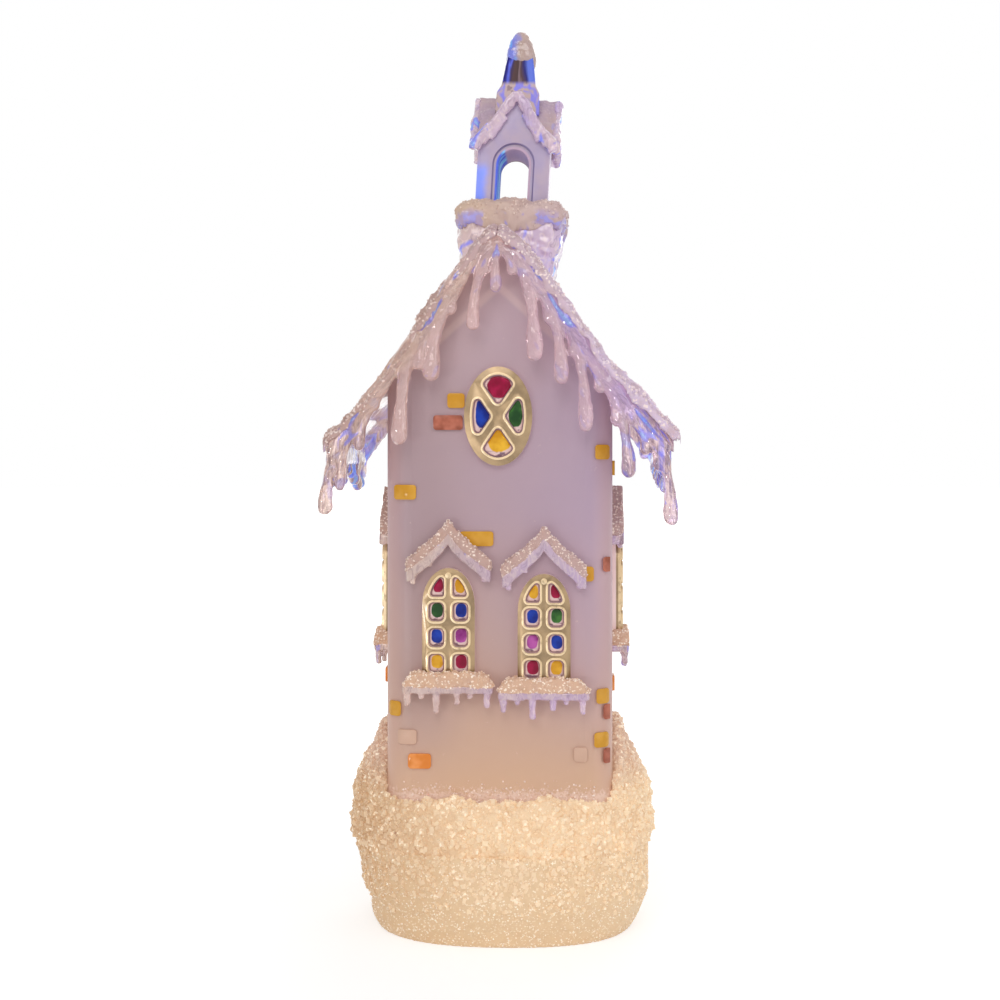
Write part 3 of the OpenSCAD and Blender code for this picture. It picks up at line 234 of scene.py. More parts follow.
class Finish:
    """A material, or the world, and the calls that add its nodes."""

    def __init__(self, name, owner=None):
        self.material = owner or bpy.data.materials.new(name)
        self.material.use_nodes = True
        self.tree = self.material.node_tree
        self.tree.nodes.clear()
        self.place = self.node("ShaderNodeTexCoord", out="Object")

    def node(self, kind, values=None, out=0, **settings):
        sockets = {key: value.socket if isinstance(value, Sock) else value
                   for key, value in (values or {}).items()}
        return Sock(self, add_node(self.tree, kind, sockets, **settings).outputs[out])

    def axis(self, name):
        return self.node("ShaderNodeSeparateXYZ", {0: self.place}, name)

    def height(self):
        return self.axis("Z")

    def across(self):
        return self.axis("X")

    def stored(self, name):
        """A value that the mesh keeps for each of its points."""
        return self.node("ShaderNodeAttribute", out="Fac", attribute_name=name)

    def noise(self, scale, detail=2.0, rough=0.5, distortion=0.0, place=None):
        return self.node("ShaderNodeTexNoise", {
            "Vector": place or self.place, "Scale": scale, "Detail": detail, "Roughness": rough,
            "Distortion": distortion})

    def cells(self, scale, out="Distance"):
        return self.node("ShaderNodeTexVoronoi", {"Vector": self.place, "Scale": scale}, out)

    def stretched(self, sx, sy, sz, turn=(0.0, 0.0, 0.0)):
        return self.node("ShaderNodeMapping", {
            "Vector": self.place, "Rotation": turn, "Scale": (sx, sy, sz)})

    def mix(self, factor, a, b):
        """The first colour where the factor is 0 and the second where it is 1."""
        return self.node("ShaderNodeMix", {0: factor, 6: in_socket(a), 7: in_socket(b)}, 2,
                         data_type="RGBA")

    def ramp(self, place, *stops):
        """A colour that runs through stops, each given as its place and colour."""
        made = self.node("ShaderNodeValToRGB", {0: place})
        elements = made.socket.node.color_ramp.elements
        while len(elements) < len(stops):
            elements.new(0.5)
        for element, (at, colour) in zip(elements, stops):
            element.position = at
            element.color = in_socket(colour)
        return made

    def bump(self, height, strength, distance):
        return self.node("ShaderNodeBump", {
            "Height": height, "Strength": strength, "Distance": distance})

    def close(self, colour, glow=None, light=None, **values):
        """Ends the material in a Principled shader with these sockets; it can glow in its own
        colour or in another light."""
        values["Base_Color"] = colour
        if glow:
            values.update(Emission_Color=light or colour, Emission_Strength=glow)
        self.output(self.node("ShaderNodeBsdfPrincipled", {
            key.replace("_", " "): value for key, value in values.items()}))
        return self.material

    def output(self, shader, kind="Material"):
        self.tree.links.new(shader.socket, self.tree.nodes.new("ShaderNodeOutput" + kind).inputs[0])


MADE = {}


def finish_once(build):
    """Keeps each material after its first making, so that pieces share it."""
    def shared():
        if build.__name__ not in MADE:
            MADE[build.__name__] = build()
        return MADE[build.__name__]
    return shared


def kind(finish, name, *values):
    """One kind of a finish, made when the first piece asks for it."""
    def build():
        return finish(name, *values)
    build.__name__ = name
    return finish_once(build)


@finish_once
def frosted():
    """Satin frosted acrylic, lit from inside, with its light painted in: lilac lamp light above,
    warm peach light near the snow.
    """
    paint = bpy.context.scene.church_paint
    f = Finish("frosted_acrylic")
    z = f.height()
    low = DRIFT_FOOT + 18 * MM
    span = WALL_HIGH.z - low
    # Painted light: the wall's colour runs from warm light near the snow up to lilac lamp light
    # under the roof
    colour = f.ramp((z - low) / span, (0.0, paint.frost_foot), (0.22, paint.frost_low),
                    (0.5, (163, 139, 149)), (0.72, (166, 142, 150)), (1.0, paint.frost_top))
    cloud = f.noise(26, 3)
    colour = f.mix(cloud.smooth(0.35, 0.75) * 0.25, colour, (188, 157, 152))
    # Painted light: lilac lamp light on the right of the wall and higher up
    lilac = f.across().smooth(-15 * MM, 40 * MM) * z.smooth(low, low + 60 * MM)
    colour = f.mix(lilac * 0.38, colour, (166, 146, 180))
    left = f.across().smooth(-37 * MM, -28 * MM) * (1 - f.across().smooth(-24 * MM, -6 * MM))
    colour = f.mix(left * z.smooth(low, low + 40 * MM) * 0.5, colour, (150, 126, 128))
    x = abs(f.across())
    # Painted light: the wall turns lighter and warmer toward its rounded corners
    colour = f.mix(x.smooth(29 * MM, 36 * MM) * 0.35, colour, (200, 160, 148))
    # Pale band of the raised gable board, seen on the wall under the roof
    board = z - (213.5 * MM - x * 0.9)
    strip = 1 - abs(board / (1.9 * MM)).smooth(0.3, 1.4)
    under_roof = z.smooth(180 * MM, 190 * MM)
    colour = f.mix(strip * under_roof * 0.4, colour, (212, 186, 178))
    colour = f.mix(board.smooth(0, 3 * MM) * under_roof * 0.25, colour, (190, 160, 150))
    # Fine frost that thins out upward, where the snow meets the wall
    drawn = f.noise(900, 3, 0.7, 0.4) + f.noise(120, 2) * 0.5
    reach = 1 - z.smooth(low - 1 * MM, low + 6 * MM)
    frost = (drawn + reach * 0.5).smooth(0.95, 1.2)
    colour = f.mix(frost * 0.75, colour, (224, 196, 182))
    grain = f.noise(1400, 2)
    return f.close(colour, Roughness=0.42 + cloud * 0.2, IOR=1.45, Subsurface_Weight=0.25,
                   Subsurface_Radius=(0.01, 0.008, 0.008), Subsurface_Scale=0.4, Coat_Weight=0.12,
                   Coat_Roughness=0.25, glow=0.12, Normal=f.bump(grain, 0.12, 0.2 * MM))


@finish_once
def tower_finish():
    """Frosted acrylic of the belfry: lilac, with blue lamp light down its left edge and in the left
    of its arch, and painted shade in a dark line round the arch's border."""
    f = Finish("tower_acrylic")
    up = f.height() - ROOF_TOP
    x = f.across() - BELFRY_SHIFT - up * math.tan(BELFRY_LEAN)
    cloud = f.noise(120, 3)
    colour = f.mix(cloud.smooth(0.35, 0.7), (162, 147, 176), (174, 155, 172))
    lit = (1 - (x + (cloud - 0.5) * 5 * MM).smooth(-10.5 * MM, -7.5 * MM)) * (
        1 - up.smooth(23 * MM, 28 * MM))
    colour = f.mix(lit * 0.85, colour, (116, 144, 252))
    rise = (up - ARCH_SPRING).most(0.0)
    off = (x * x + rise * rise) ** 0.5
    # Painted shade: a dark line round the arch's recessed border
    ring = 1 - abs(off - ARCH_OUTER).smooth(0.1 * MM, 0.4 * MM)
    colour = f.mix(ring * 0.75, colour, (96, 84, 130))
    inner = 1 - off.smooth(ARCH_OUTER - 1.2 * MM, ARCH_OUTER - 0.7 * MM)
    colour = f.mix(inner, colour, (186, 160, 180))
    jamb = (1 - x.smooth(-3.6 * MM, -2.6 * MM)) * inner
    cyan = f.noise(160, 2, 0.5, 0.4, f.stretched(1.0, 1.0, 0.2)).smooth(0.42, 0.6)
    colour = f.mix(jamb, colour, f.mix(cyan, (84, 104, 214), (136, 206, 250)))
    # Painted shade: the far edge of the arch shows as a brown line
    far = f.axis("Y").smooth(TOWER_BACK - 3.2 * MM, TOWER_BACK - 2.6 * MM)
    colour = f.mix(far * inner * 0.7, colour, (112, 86, 84))
    return f.close(colour, Roughness=0.3 + cloud * 0.2 + inner * 0.45, IOR=1.4,
                   Subsurface_Weight=0.2, Subsurface_Radius=(0.01, 0.008, 0.008),
                   Subsurface_Scale=0.3, Coat_Weight=0.25 - inner * 0.25, Coat_Roughness=0.2,
                   glow=0.14, Normal=f.bump(f.noise(1400, 2), 0.1, 0.2 * MM))


def slope_place(f, along, across):
    """Coordinates that run down both slopes of the roof, squeezed along them."""
    x = abs(f.across())
    z = f.height()
    down = x * SLOPE.x - z * SLOPE.z
    out = x * SLOPE.z + z * SLOPE.x
    return f.node("ShaderNodeCombineXYZ", {
        0: down * along, 1: f.axis("Y") * across, 2: out * across})


# How strongly the ice's painted lines show: thin cream highlights and thin dark reflections
PAINTED_LINES = 0.3


def ice_finish(name, place_of, clear, rough, glint, size=1.0, blue_share=0.0, lilac=0.0):
    """Moulded ice painted with light: warm beige light on its left and lilac on its right, thin
    dark reflections and cream highlights in lines, blue lamp light caught in it, and streaks of
    brown reflection and blue light where it hangs free of the walls."""
    ice = bpy.context.scene.church_ice
    f = Finish(name)
    place = place_of(f)
    moved = f.node("ShaderNodeVectorMath", {0: place, 1: (0.31, 0.12, 0.07)}, operation="ADD")
    painted_line_noise = f.noise(380 / size, 2, 0.5, 0.6, place)
    glow = f.noise(330 / size, 1.5, 0.5, 0.5, moved)
    milk = f.noise(90, 3)
    # Painted light: beige light on the left of the ice and lilac light on its right
    side = (f.across() + (milk - 0.5) * 40 * MM + lilac).smooth(-22 * MM, 26 * MM)
    colour = f.mix(side, ice.tint, (194, 170, 200))
    colour = f.mix(milk.smooth(0.45, 0.7) * 0.5, colour, (226, 204, 196))
    # Painted reflections and light where the ice hangs free: streaks of dark brown reflection,
    # beige, and blue lamp light
    free = abs(f.across()).smooth(HALF_NAVE.x + 0.5 * MM, HALF_NAVE.x + 4 * MM)
    hung = free * (1 - f.height().smooth(EAVE_Z + 3 * MM, EAVE_Z + 11 * MM))
    streak = f.noise(460, 2, 0.5, 0.3, f.stretched(1.0, 1.0, 0.12))
    streaks = f.ramp(streak, (0.34, (92, 66, 84)), (0.42, (214, 190, 176)), (0.5, (180, 152, 152)),
                     (0.54, (112, 80, 88)), (0.59, (214, 192, 194)), (0.68, (110, 112, 230)))
    colour = f.mix(hung * 0.7, colour, streaks)
    # Painted highlights in thin cream lines, and painted dark reflections in thin dark lines
    pale = 1 - abs(painted_line_noise - 0.43).smooth(0.01, 0.05)
    colour = f.mix(pale * PAINTED_LINES, colour, (246, 228, 214))
    dark = 1 - abs(painted_line_noise - 0.59).smooth(0.008, 0.035)
    colour = f.mix(dark * PAINTED_LINES, colour, (104, 76, 110))
    lit = glow + side * 0.025 + blue_share
    blue = lit.smooth(0.63, 0.70)
    colour = f.mix(blue * 0.85, colour, (124, 128, 238))
    core = lit.smooth(0.70, 0.76)
    colour = f.mix(core * 0.9, colour, (140, 208, 252))
    light = f.mix(blue, colour, ice.glow)
    # Fingers that hang before the wall are clear; painted light makes them paler and gives them a
    # faint glow of the lit wall behind them
    hang = f.stored("hang") * (1 - free)
    colour = f.mix(hang * 0.7, colour, (240, 216, 214))
    light = f.mix(hang * 0.7, light, (116, 90, 98))
    return f.close(colour, Roughness=rough + milk * 0.08, IOR=1.42, Transmission_Weight=clear,
                   Coat_Weight=0.8, Coat_Roughness=0.03, light=light, glow=0.2,
                   Normal=f.bump(f.noise(220 / size, 1, 0.5, 0.5, place), glint, 0.6 * MM))


def ice_kind(name, *values, slope=None, stretch=None):
    """One kind of ice, drawn out down the slopes or along its own axes."""
    def place(f):
        return slope_place(f, *slope) if slope else f.stretched(*stretch)
    return kind(ice_finish, name, place, *values)


# Glassy ice of the front gable, and the rear gable's, filled with blue lamp light
VERGE_ICE = ice_kind("verge_ice", 0.8, 0.03, 0.7, slope=(0.22, 1.0))
REAR_ICE = ice_kind("rear_ice", 0.7, 0.04, 0.7, 1.0, 0.08, slope=(0.22, 1.0))
CLEAR_ICE = ice_kind("clear_ice", 0.7, 0.04, 0.5, stretch=(1.0, 1.0, 0.25))
HOOD_ICE = ice_kind("hood_ice", 0.5, 0.04, 0.5, 0.8, -0.07, 12 * MM, stretch=(1.0, 1.0, 0.4))
BELFRY_ICE = ice_kind("belfry_ice", 0.4, 0.04, 0.6, 1.2, 0.045, 16 * MM,
                      stretch=(0.8, 1.0, 0.5, (0.0, 0.7, 0.0)))
EAVE_ICE = ice_kind("eave_ice", 0.5, 0.04, 0.5, 1.0, 0.09, stretch=(1.0, 1.0, 0.2))
COLLAR_ICE = ice_kind("collar_ice", 0.2, 0.06, 0.8, 1.8, 0.03, 10 * MM, stretch=(1.0, 1.0, 0.8))


@finish_once
def dark_ice():
    """Clear acrylic of the spire, painted with light: dark brown reflections in its middle, blue
    lamp light down its edges, pale below.
    """
    f = Finish("dark_ice")
    up = f.height() - SPIRE_LOW.z
    lean = SPIRE_MID_X + (up - (SPIRE_HIGH.z - SPIRE_LOW.z) / 2) * math.tan(BELFRY_LEAN)
    wave = f.noise(420, 2, 0.5, 0.4, f.stretched(1.0, 1.0, 0.12)) - 0.5
    half = 6.2 * MM - up * 0.16
    place = (f.across() - lean + wave * 2.4 * MM) / half * 0.5 + 0.5
    # Painted light across the shaft: dark blue and blue lamp light at its edges, dark brown
    # reflections in its middle
    colour = f.ramp(place, (0.03, (34, 32, 120)), (0.14, (92, 104, 220)), (0.22, (60, 44, 84)),
                    (0.32, (82, 58, 60)), (0.56, (72, 52, 54)), (0.64, (128, 104, 112)),
                    (0.7, (84, 60, 64)), (0.84, (36, 34, 112)), (0.96, (96, 116, 214)))
    foot = 1 - up.smooth(10.5 * MM, 12.5 * MM)
    # Below, pale ice with runs of painted blue lamp light and lines of painted dark reflection
    run = f.noise(260, 2, 0.5, 0.8, f.stretched(1.0, 1.0, 0.5, (0.0, 0.6, 0.0)))
    clear = f.mix(run.smooth(0.48, 0.62), (198, 174, 172), (146, 140, 232))
    clear = f.mix((1 - run.smooth(0.36, 0.42)) * 0.6, clear, (120, 94, 110))
    colour = f.mix(foot, colour, clear)
    return f.close(colour, Roughness=0.1, IOR=1.15, Coat_Weight=0.04, Coat_Roughness=0.03,
                   glow=0.04, Normal=f.bump(f.noise(300, 1), 0.3, 0.4 * MM))


@finish_once
def cap_ice():
    """Snow cap of the spire: blue light on its left half, beige on its right, with painted
    highlights in pale patches.
    """
    f = Finish("cap_ice")
    side = (f.across() - SPIRE_MID_X + f.noise(220, 2) * 7 * MM - 3.5 * MM) / (3 * MM)
    colour = f.mix(side.smooth(-0.6, 0.5), (122, 130, 226), (188, 160, 150))
    core = f.noise(300, 2, 0.5, 0.5, f.stretched(1.0, 1.0, 0.5)).smooth(0.56, 0.64)
    colour = f.mix(core * (1 - side.smooth(-0.6, 0.3)), colour, (96, 160, 250))
    # Painted highlights: pale patches on the cap's ice
    rim = f.noise(260, 2, 0.5, 0.8)
    colour = f.mix(rim.smooth(0.6, 0.68) * 0.6, colour, (238, 220, 222))
    return f.close(colour, Roughness=0.08 + rim * 0.1, IOR=1.4, Transmission_Weight=0.25,
                   Coat_Weight=0.7, Coat_Roughness=0.04, glow=0.12,
                   Normal=f.bump(rim, 0.5, 0.4 * MM))


@finish_once
def glitter_ice():
    """Frosted ice with fine glitter painted as bright glints, and patches of painted blue lamp
    light, on the belfry's roof.
    """
    f = Finish("glitter_ice")
    specks = f.cells(900)
    cloud = f.noise(90, 3)
    colour = f.mix(cloud.smooth(0.35, 0.7), (182, 158, 178), (196, 168, 168))
    # Painted glints: bright specks of glitter
    colour = f.mix(specks.smooth(0.05, 0.2), (232, 214, 218), colour)
    # Painted blue lamp light in patches
    glow = f.noise(130, 2, 0.5, 0.5, f.stretched(1.0, 1.0, 0.4, (0.0, 0.7, 0.0)))
    colour = f.mix(glow.smooth(0.62, 0.7) * 0.7, colour, (140, 150, 240))
    return f.close(colour, Roughness=0.12 + cloud * 0.35, IOR=1.4, Transmission_Weight=0.15,
                   Coat_Weight=0.5, Coat_Roughness=0.08, glow=0.08,
                   Normal=f.bump(f.noise(800, 3), 0.5, 0.4 * MM))


def snow_finish(name, warm, cool, shade, sparkle, scale, glow, drawn, turn=(-30, 45), high=None):
    """Granular snow with painted light: warm on its left, cooler on its right, with painted glints
    on bright facets; a colour is given as it looks on screen or by its name in the settings."""
    snow = bpy.context.scene.church_snow
    warm, cool = (getattr(snow, c) if isinstance(c, str) else c for c in (warm, cool))
    f = Finish(name)
    cloud = f.noise(scale * 0.13, 3)
    # Painted light and shade: the snow takes one colour of light on its left and another on its
    # right
    side = f.across().smooth(turn[0] * MM, turn[1] * MM)
    base = f.mix(side, warm, cool)
    colour = f.mix(cloud.smooth(0.42, 0.7) * 0.55, base, shade)
    if high:
        colour = f.mix(f.height().smooth(46 * MM, 62 * MM) * 0.65, colour, high)
    # Painted glints on bright facets
    speck = f.cells(scale, out="Color")
    pick = f.node("ShaderNodeSeparateColor", {0: speck})
    colour = f.mix(pick.smooth(0.90, 0.95) * 0.8, colour, sparkle)
    tone = f.stored("tone")
    colour = f.mix(tone.smooth(0.55, 1.0) * drawn, colour, sparkle)
    colour = f.mix((1 - tone.smooth(0.0, 0.3)) * drawn * 0.4, colour, shade)
    return f.close(colour, Roughness=0.7 - pick.smooth(0.8, 0.95) * 0.5, IOR=1.31,
                   Subsurface_Weight=0.3, Subsurface_Radius=(0.01, 0.008, 0.006),
                   Subsurface_Scale=0.3, glow=glow,
                   Normal=f.bump(f.noise(scale, 3, 0.6), 0.5, 0.3 * MM))


# Kinds of snow: colours of the painted light at the left and at the right, of the painted shade and
# of the painted glints on facets, facets in a metre, glow, how strongly single grains differ, where
# left turns to right, and colour high up
ROOF_SNOW = kind(snow_finish, "grain_snow", "roof_colour", (206, 188, 212), (178, 150, 148),
                 (246, 228, 220), 1500, 0.16, 0.5)
SILL_SNOW = kind(snow_finish, "sill_snow", (204, 168, 140), (204, 170, 146), (190, 156, 138),
                 (255, 244, 230), 2200, 0.2, 0.6)
HOOD_SNOW = kind(snow_finish, "hood_snow", (182, 150, 136), (184, 156, 154), (178, 148, 142),
                 (252, 238, 226), 2200, 0.18, 0.6)
DRIFT_SNOW = kind(snow_finish, "flaky_snow", (192, 156, 120), "base_colour", (212, 182, 148),
                  (248, 232, 208), 1100, 0.22, 0.22, (-56, 0), (196, 162, 149))
BASE_SNOW = kind(snow_finish, "base_snow", (202, 168, 130), (221, 194, 160), (212, 182, 146),
                 (255, 246, 232), 2600, 0.2, 0.7, (-56, 0))
# Pale frost where the drift meets the wall
WALL_FROST = kind(snow_finish, "wall_frost", (212, 178, 158), (212, 182, 166), (196, 162, 146),
                  (250, 236, 226), 1800, 0.18, 0.5)


@finish_once
def collar_snow_finish():
    """Snow of the collar: beige on its top, with lilac ice and painted blue lamp light showing
    through lower down.
    """
    f = Finish("collar_snow")
    z = f.height()
    low = ROOF_TOP + 5 * MM
    cloud = f.noise(150, 3)
    side = f.across().smooth(-14 * MM, 20 * MM)
    colour = f.mix(side, (194, 168, 150), (190, 166, 164))
    colour = f.mix(cloud.smooth(0.5, 0.75) * 0.5, colour, (168, 140, 136))
    ends = abs(f.across() - 3 * MM).smooth(6 * MM, 12 * MM)
    # Painted light: patches lower down show lilac ice and blue lamp light
    icy = (f.noise(170, 2, 0.5, 0.6) + ends * 0.16).smooth(0.58, 0.66) * (
        1 - (z + cloud * 5 * MM).smooth(low + 5 * MM, low + 8 * MM))
    colour = f.mix(icy * 0.6, colour, f.mix(f.noise(300, 2).smooth(0.5, 0.6), (152, 134, 196),
                                            (132, 140, 240)))
    tone = f.stored("tone")
    colour = f.mix(tone.smooth(0.5, 1.0) * 0.35, colour, (244, 226, 214))
    return f.close(colour, Roughness=0.6 - icy * 0.4, IOR=1.31, Coat_Weight=0.15, glow=0.14,
                   Normal=f.bump(f.noise(1500, 3, 0.6), 0.5, 0.3 * MM))


@finish_once
def gilt():
    """Champagne gold paint on the faces of the frames, brighter on the raised rims with a painted
    highlight where they face down and to the left, bare below.
    """
    paint = bpy.context.scene.church_paint
    f = Finish("champagne_gilt")
    proud = (abs(f.axis("Y")) - HALF_NAVE.y).most(abs(f.axis("X")) - HALF_NAVE.x)
    cloud = f.noise(160, 4, 0.6)
    rim_breakup = f.noise(420, 3, 0.6)
    colour = f.mix(cloud.smooth(0.3, 0.7), (134, 112, 84), (166, 140, 106))
    # Raised rims take a lighter gold, broken up by noise, with a painted highlight where they face
    # down and to the left
    rim = proud.smooth(FRAME_T + 0.05 * MM, FRAME_T + 0.3 * MM)
    faced_to_light = f.node("ShaderNodeVectorMath", {
        0: f.node("ShaderNodeTexCoord", out="Normal"), 1: (-0.45, 0.0, -0.6)}, "Value",
        operation="DOT_PRODUCT")
    # The painted highlight runs to the gold setting on rims that face down and to the left
    rim_gold_and_highlight = f.mix(faced_to_light.smooth(-0.25, 0.4), (208, 180, 138), paint.gold)
    colour = f.mix(rim * rim_breakup.smooth(0.2, 0.5), colour, rim_gold_and_highlight)
    bare = 1 - proud.smooth(FRAME_T - 0.7 * MM, FRAME_T - 0.4 * MM)
    colour = f.mix(bare, colour, (214, 188, 186))
    light = f.mix(bare, (0, 0, 0), colour)
    return f.close(colour, Metallic=0.75 - bare * 0.75 - rim * 0.25, Roughness=0.24 + cloud * 0.2,
                   IOR=1.5, Coat_Weight=0.3, Coat_Roughness=0.1, light=light, glow=0.35,
                   Normal=f.bump(rim_breakup, 0.25, 0.12 * MM))


def enamel(name, deep, bright, blobs=False):
    """Glossy translucent enamel, brighter where it is thin; in a light it is a blob in its upper
    part, and the rest of the light is clear with thin dark reflections."""
    f = Finish(name)
    pool = f.noise(240, 2)
    colour = f.mix(pool.smooth(0.35, 0.7), deep, bright)
    if blobs:
        across, up = f.stored("light_across"), f.stored("light_up")
        square = 2.6
        reach = (abs((across - 0.54) / 0.44) ** square
                 + abs((up - 0.58) / 0.44) ** square) ** (1 / square)
        past = (reach + (pool - 0.5) * 0.5).smooth(0.92, 1.02)
        dark = f.noise(700, 1, place=f.stretched(0.6, 0.6, 1.4)).smooth(0.55, 0.6) * (
            1 - up.smooth(0.1, 0.24))
        clear = f.mix(dark * 0.8, (214, 186, 184), (84, 52, 84))
        colour = f.mix(past, colour, clear)
    return f.close(colour, Roughness=0.08 + pool * 0.08, IOR=1.25, Coat_Weight=0.08,
                   Coat_Roughness=0.03, glow=0.14, Normal=f.bump(f.noise(300, 1), 0.15, 0.2 * MM))


ENAMELS = {"panes_" + name: kind(enamel, "enamel_" + name, deep, bright, True)
           for name, deep, bright in (
               ("crimson", (124, 4, 44), (160, 16, 66)), ("blue", (10, 26, 112), (24, 60, 164)),
               ("green", (28, 66, 30), (62, 112, 48)), ("amber", (194, 136, 24), (222, 172, 50)),
               ("magenta", (122, 30, 108), (176, 84, 160)))}
BRICK_PAINTS = {"bricks_" + name: kind(enamel, "brick_" + name, deep, bright)
                for name, deep, bright in (
                    ("amber", (190, 136, 40), (200, 148, 56)),
                    ("copper", (134, 70, 52), (176, 104, 84)),
                    ("orange", (206, 120, 48), (224, 146, 84)))}


@finish_once
def clear_brick():
    f = Finish("brick_clear")
    cloud = f.noise(90, 2)
    colour = f.mix(cloud.smooth(0.3, 0.7), (188, 153, 133), (194, 158, 138))
    return f.close(colour, Roughness=0.5 + cloud * 0.1, IOR=1.45, Coat_Weight=0.1,
                   Coat_Roughness=0.2, glow=0.14)


def moulded(name, colour, shade, roughness, metallic=0.0):
    """Plain moulded or plated surface with faint mottling and a fine grain."""
    f = Finish(name)
    cloud = f.noise(300, 3)
    colour = f.mix(cloud.smooth(0.35, 0.65), colour, shade)
    return f.close(colour, Metallic=metallic, Roughness=roughness + cloud * 0.12, IOR=1.46,
                   Normal=f.bump(f.noise(1800, 2), 0.15, 0.1 * MM))


WHITE_PLASTIC = kind(moulded, "white_plastic", (232, 229, 222), (224, 220, 210), 0.42)
BLACK_PLASTIC = kind(moulded, "black_plastic", (38, 38, 40), (50, 50, 53), 0.4)
STEEL = kind(moulded, "plated_steel", (196, 194, 190), (176, 174, 172), 0.26, 0.9)
CELL_JACKET = kind(moulded, "cell_jacket", (52, 56, 64), (64, 68, 78), 0.3, 0.5)
BOARD = kind(moulded, "board_lacquer", (40, 92, 56), (52, 108, 66), 0.3)
LAMP_RESIN = kind(moulded, "lamp_resin", (226, 232, 246), (206, 216, 242), 0.12)
WIRE_SKIN = kind(moulded, "wire_skin", (150, 34, 34), (166, 44, 42), 0.45)

INNER_FINISHES = {
    "base_plate": WHITE_PLASTIC, "battery_door": WHITE_PLASTIC, "door_screw": STEEL,
    "plate_screws": STEEL, "battery_cells": CELL_JACKET, "contact_springs": STEEL,
    "contact_plates": STEEL, "switch_body": BLACK_PLASTIC, "switch_knob": BLACK_PLASTIC,
    "control_board": BOARD, "led_board": BOARD, "led_lamps": LAMP_RESIN, "led_post": WHITE_PLASTIC,
    "lead_wires": WIRE_SKIN,
}


def held(value):
    """A value kept between 0 and 1."""
    return min(1, max(0, value))


def hump(x, middle, width):
    """A smooth rise to 1 about a middle."""
    return math.exp(-((x - middle) / width) ** 2)


def measure_lights(obj):
    """Stores where each point lies in its own light: from left to right and from foot to top."""
    bm = bmesh.new()
    bm.from_mesh(obj.data)
    across = bm.verts.layers.float.new("light_across")
    up = bm.verts.layers.float.new("light_up")
    left = set(bm.verts)
    while left:
        island, edge = [], [left.pop()]
        while edge:
            v = edge.pop()
            island.append(v)
            for e in v.link_edges:
                other = e.other_vert(v)
                if other in left:
                    left.discard(other)
                    edge.append(other)
        low = [min(v.co[k] for v in island) for k in range(3)]
        high = [max(v.co[k] for v in island) for k in range(3)]
        k = 0 if high[0] - low[0] > high[1] - low[1] else 1
        # Seen from outside, x runs to the right on the front wall and y on the right wall
        turned = low[1] > 0 if k == 0 else low[0] < 0
        for v in island:
            share = (v.co[k] - low[k]) / (high[k] - low[k])
            v[across] = 1 - share if turned else share
            v[up] = (v.co.z - low[2]) / (high[2] - low[2])
    bm.to_mesh(obj.data)
    bm.free()
    return obj


def copy_of(*nodes):
    """Merged copy of CAD nodes' meshes, with flat faces joined."""
    bm = bmesh.new()
    for node in nodes:
        bm.from_mesh(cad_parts[node].data)
    bmesh.ops.remove_doubles(bm, verts=bm.verts, dist=0.002 * MM)
    bmesh.ops.dissolve_limit(bm, angle_limit=math.radians(0.5), verts=bm.verts, edges=bm.edges)
    return bm


def placed(name, data):
    """New object in the scene."""
    obj = bpy.data.objects.new(name, data)
    bpy.context.scene.collection.objects.link(obj)
    return obj


def mesh_of(bm, name):
    """New mesh from a bmesh, which it uses up."""
    mesh = bpy.data.meshes.new(name)
    bm.to_mesh(mesh)
    bm.free()
    return mesh


def piece(bm, name, smooth_angle=40):
    """New object at the origin from a bmesh."""
    obj = placed(name, mesh_of(bm, name))
    soften(obj, smooth_angle)
    return obj


def soften(obj, angle):
    """Smooth shading, with edges sharper than the angle kept."""
    obj.data.shade_smooth()
    obj.data.set_sharp_from_angle(angle=math.radians(angle))


def baked(obj):
    """Turns the object's modifiers into its mesh."""
    mesh = bpy.data.meshes.new_from_object(
        obj.evaluated_get(bpy.context.evaluated_depsgraph_get()))
    obj.modifiers.clear()
    obj.data = mesh
    mesh.name = obj.name
    return obj


def dress(obj, material, slot, *nodes):
    """Gives a finished piece its material and body and hides the nodes that it stands for; the slot
    is not used.
    """
    obj.data.materials.clear()
    obj.data.materials.append(material)
    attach(obj, CHURCH)
    if nodes:
        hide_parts(*nodes)


def repaint(node, material):
    """Gives a CAD node that is kept as it is a better material."""
    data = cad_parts[node]
    if not data.material_slots:
        data.data.materials.append(material)
    for place in data.material_slots:
        place.material = material


def rounded(node, name, width, segments=2, angle=40):
    """Copy of a CAD node with its edges rounded off."""
    obj = piece(copy_of(node), name)
    bevel = obj.modifiers.new("rounding", "BEVEL")
    bevel.width = width
    bevel.segments = segments
    bevel.limit_method = "ANGLE"
    bevel.angle_limit = math.radians(angle)
    baked(obj)
    soften(obj, 40)
    return obj


def fused(obj, voxel, passes):
    """Fuses overlapping solids into one skin and relaxes it."""
    remesh = obj.modifiers.new("fuse", "REMESH")
    remesh.mode = "VOXEL"
    remesh.voxel_size = voxel
    remesh.use_smooth_shade = True
    relax = obj.modifiers.new("relax", "SMOOTH")
    relax.factor = 0.6
    relax.iterations = passes
    return baked(obj)


def fused_copy(node, name, voxel, passes):
    """Fused and relaxed copy of a CAD node."""
    return fused(piece(copy_of(node), name), voxel, passes)


def roughen(obj, size, depth, seed, keep_below=None):
    """Moves every point along its normal by noise of a size and depth."""
    shift = Vector((seed, seed * 1.7, seed * 0.6))
    mesh = obj.data
    normals = [v.normal.copy() for v in mesh.vertices]
    for v, n in zip(mesh.vertices, normals):
        if keep_below is not None and v.co.z < keep_below:
            continue
        p = v.co / size + shift
        v.co += n * depth * (0.7 * noise.noise(p) + 0.3 * noise.noise(p * 2.7))
    mesh.update()
    return obj


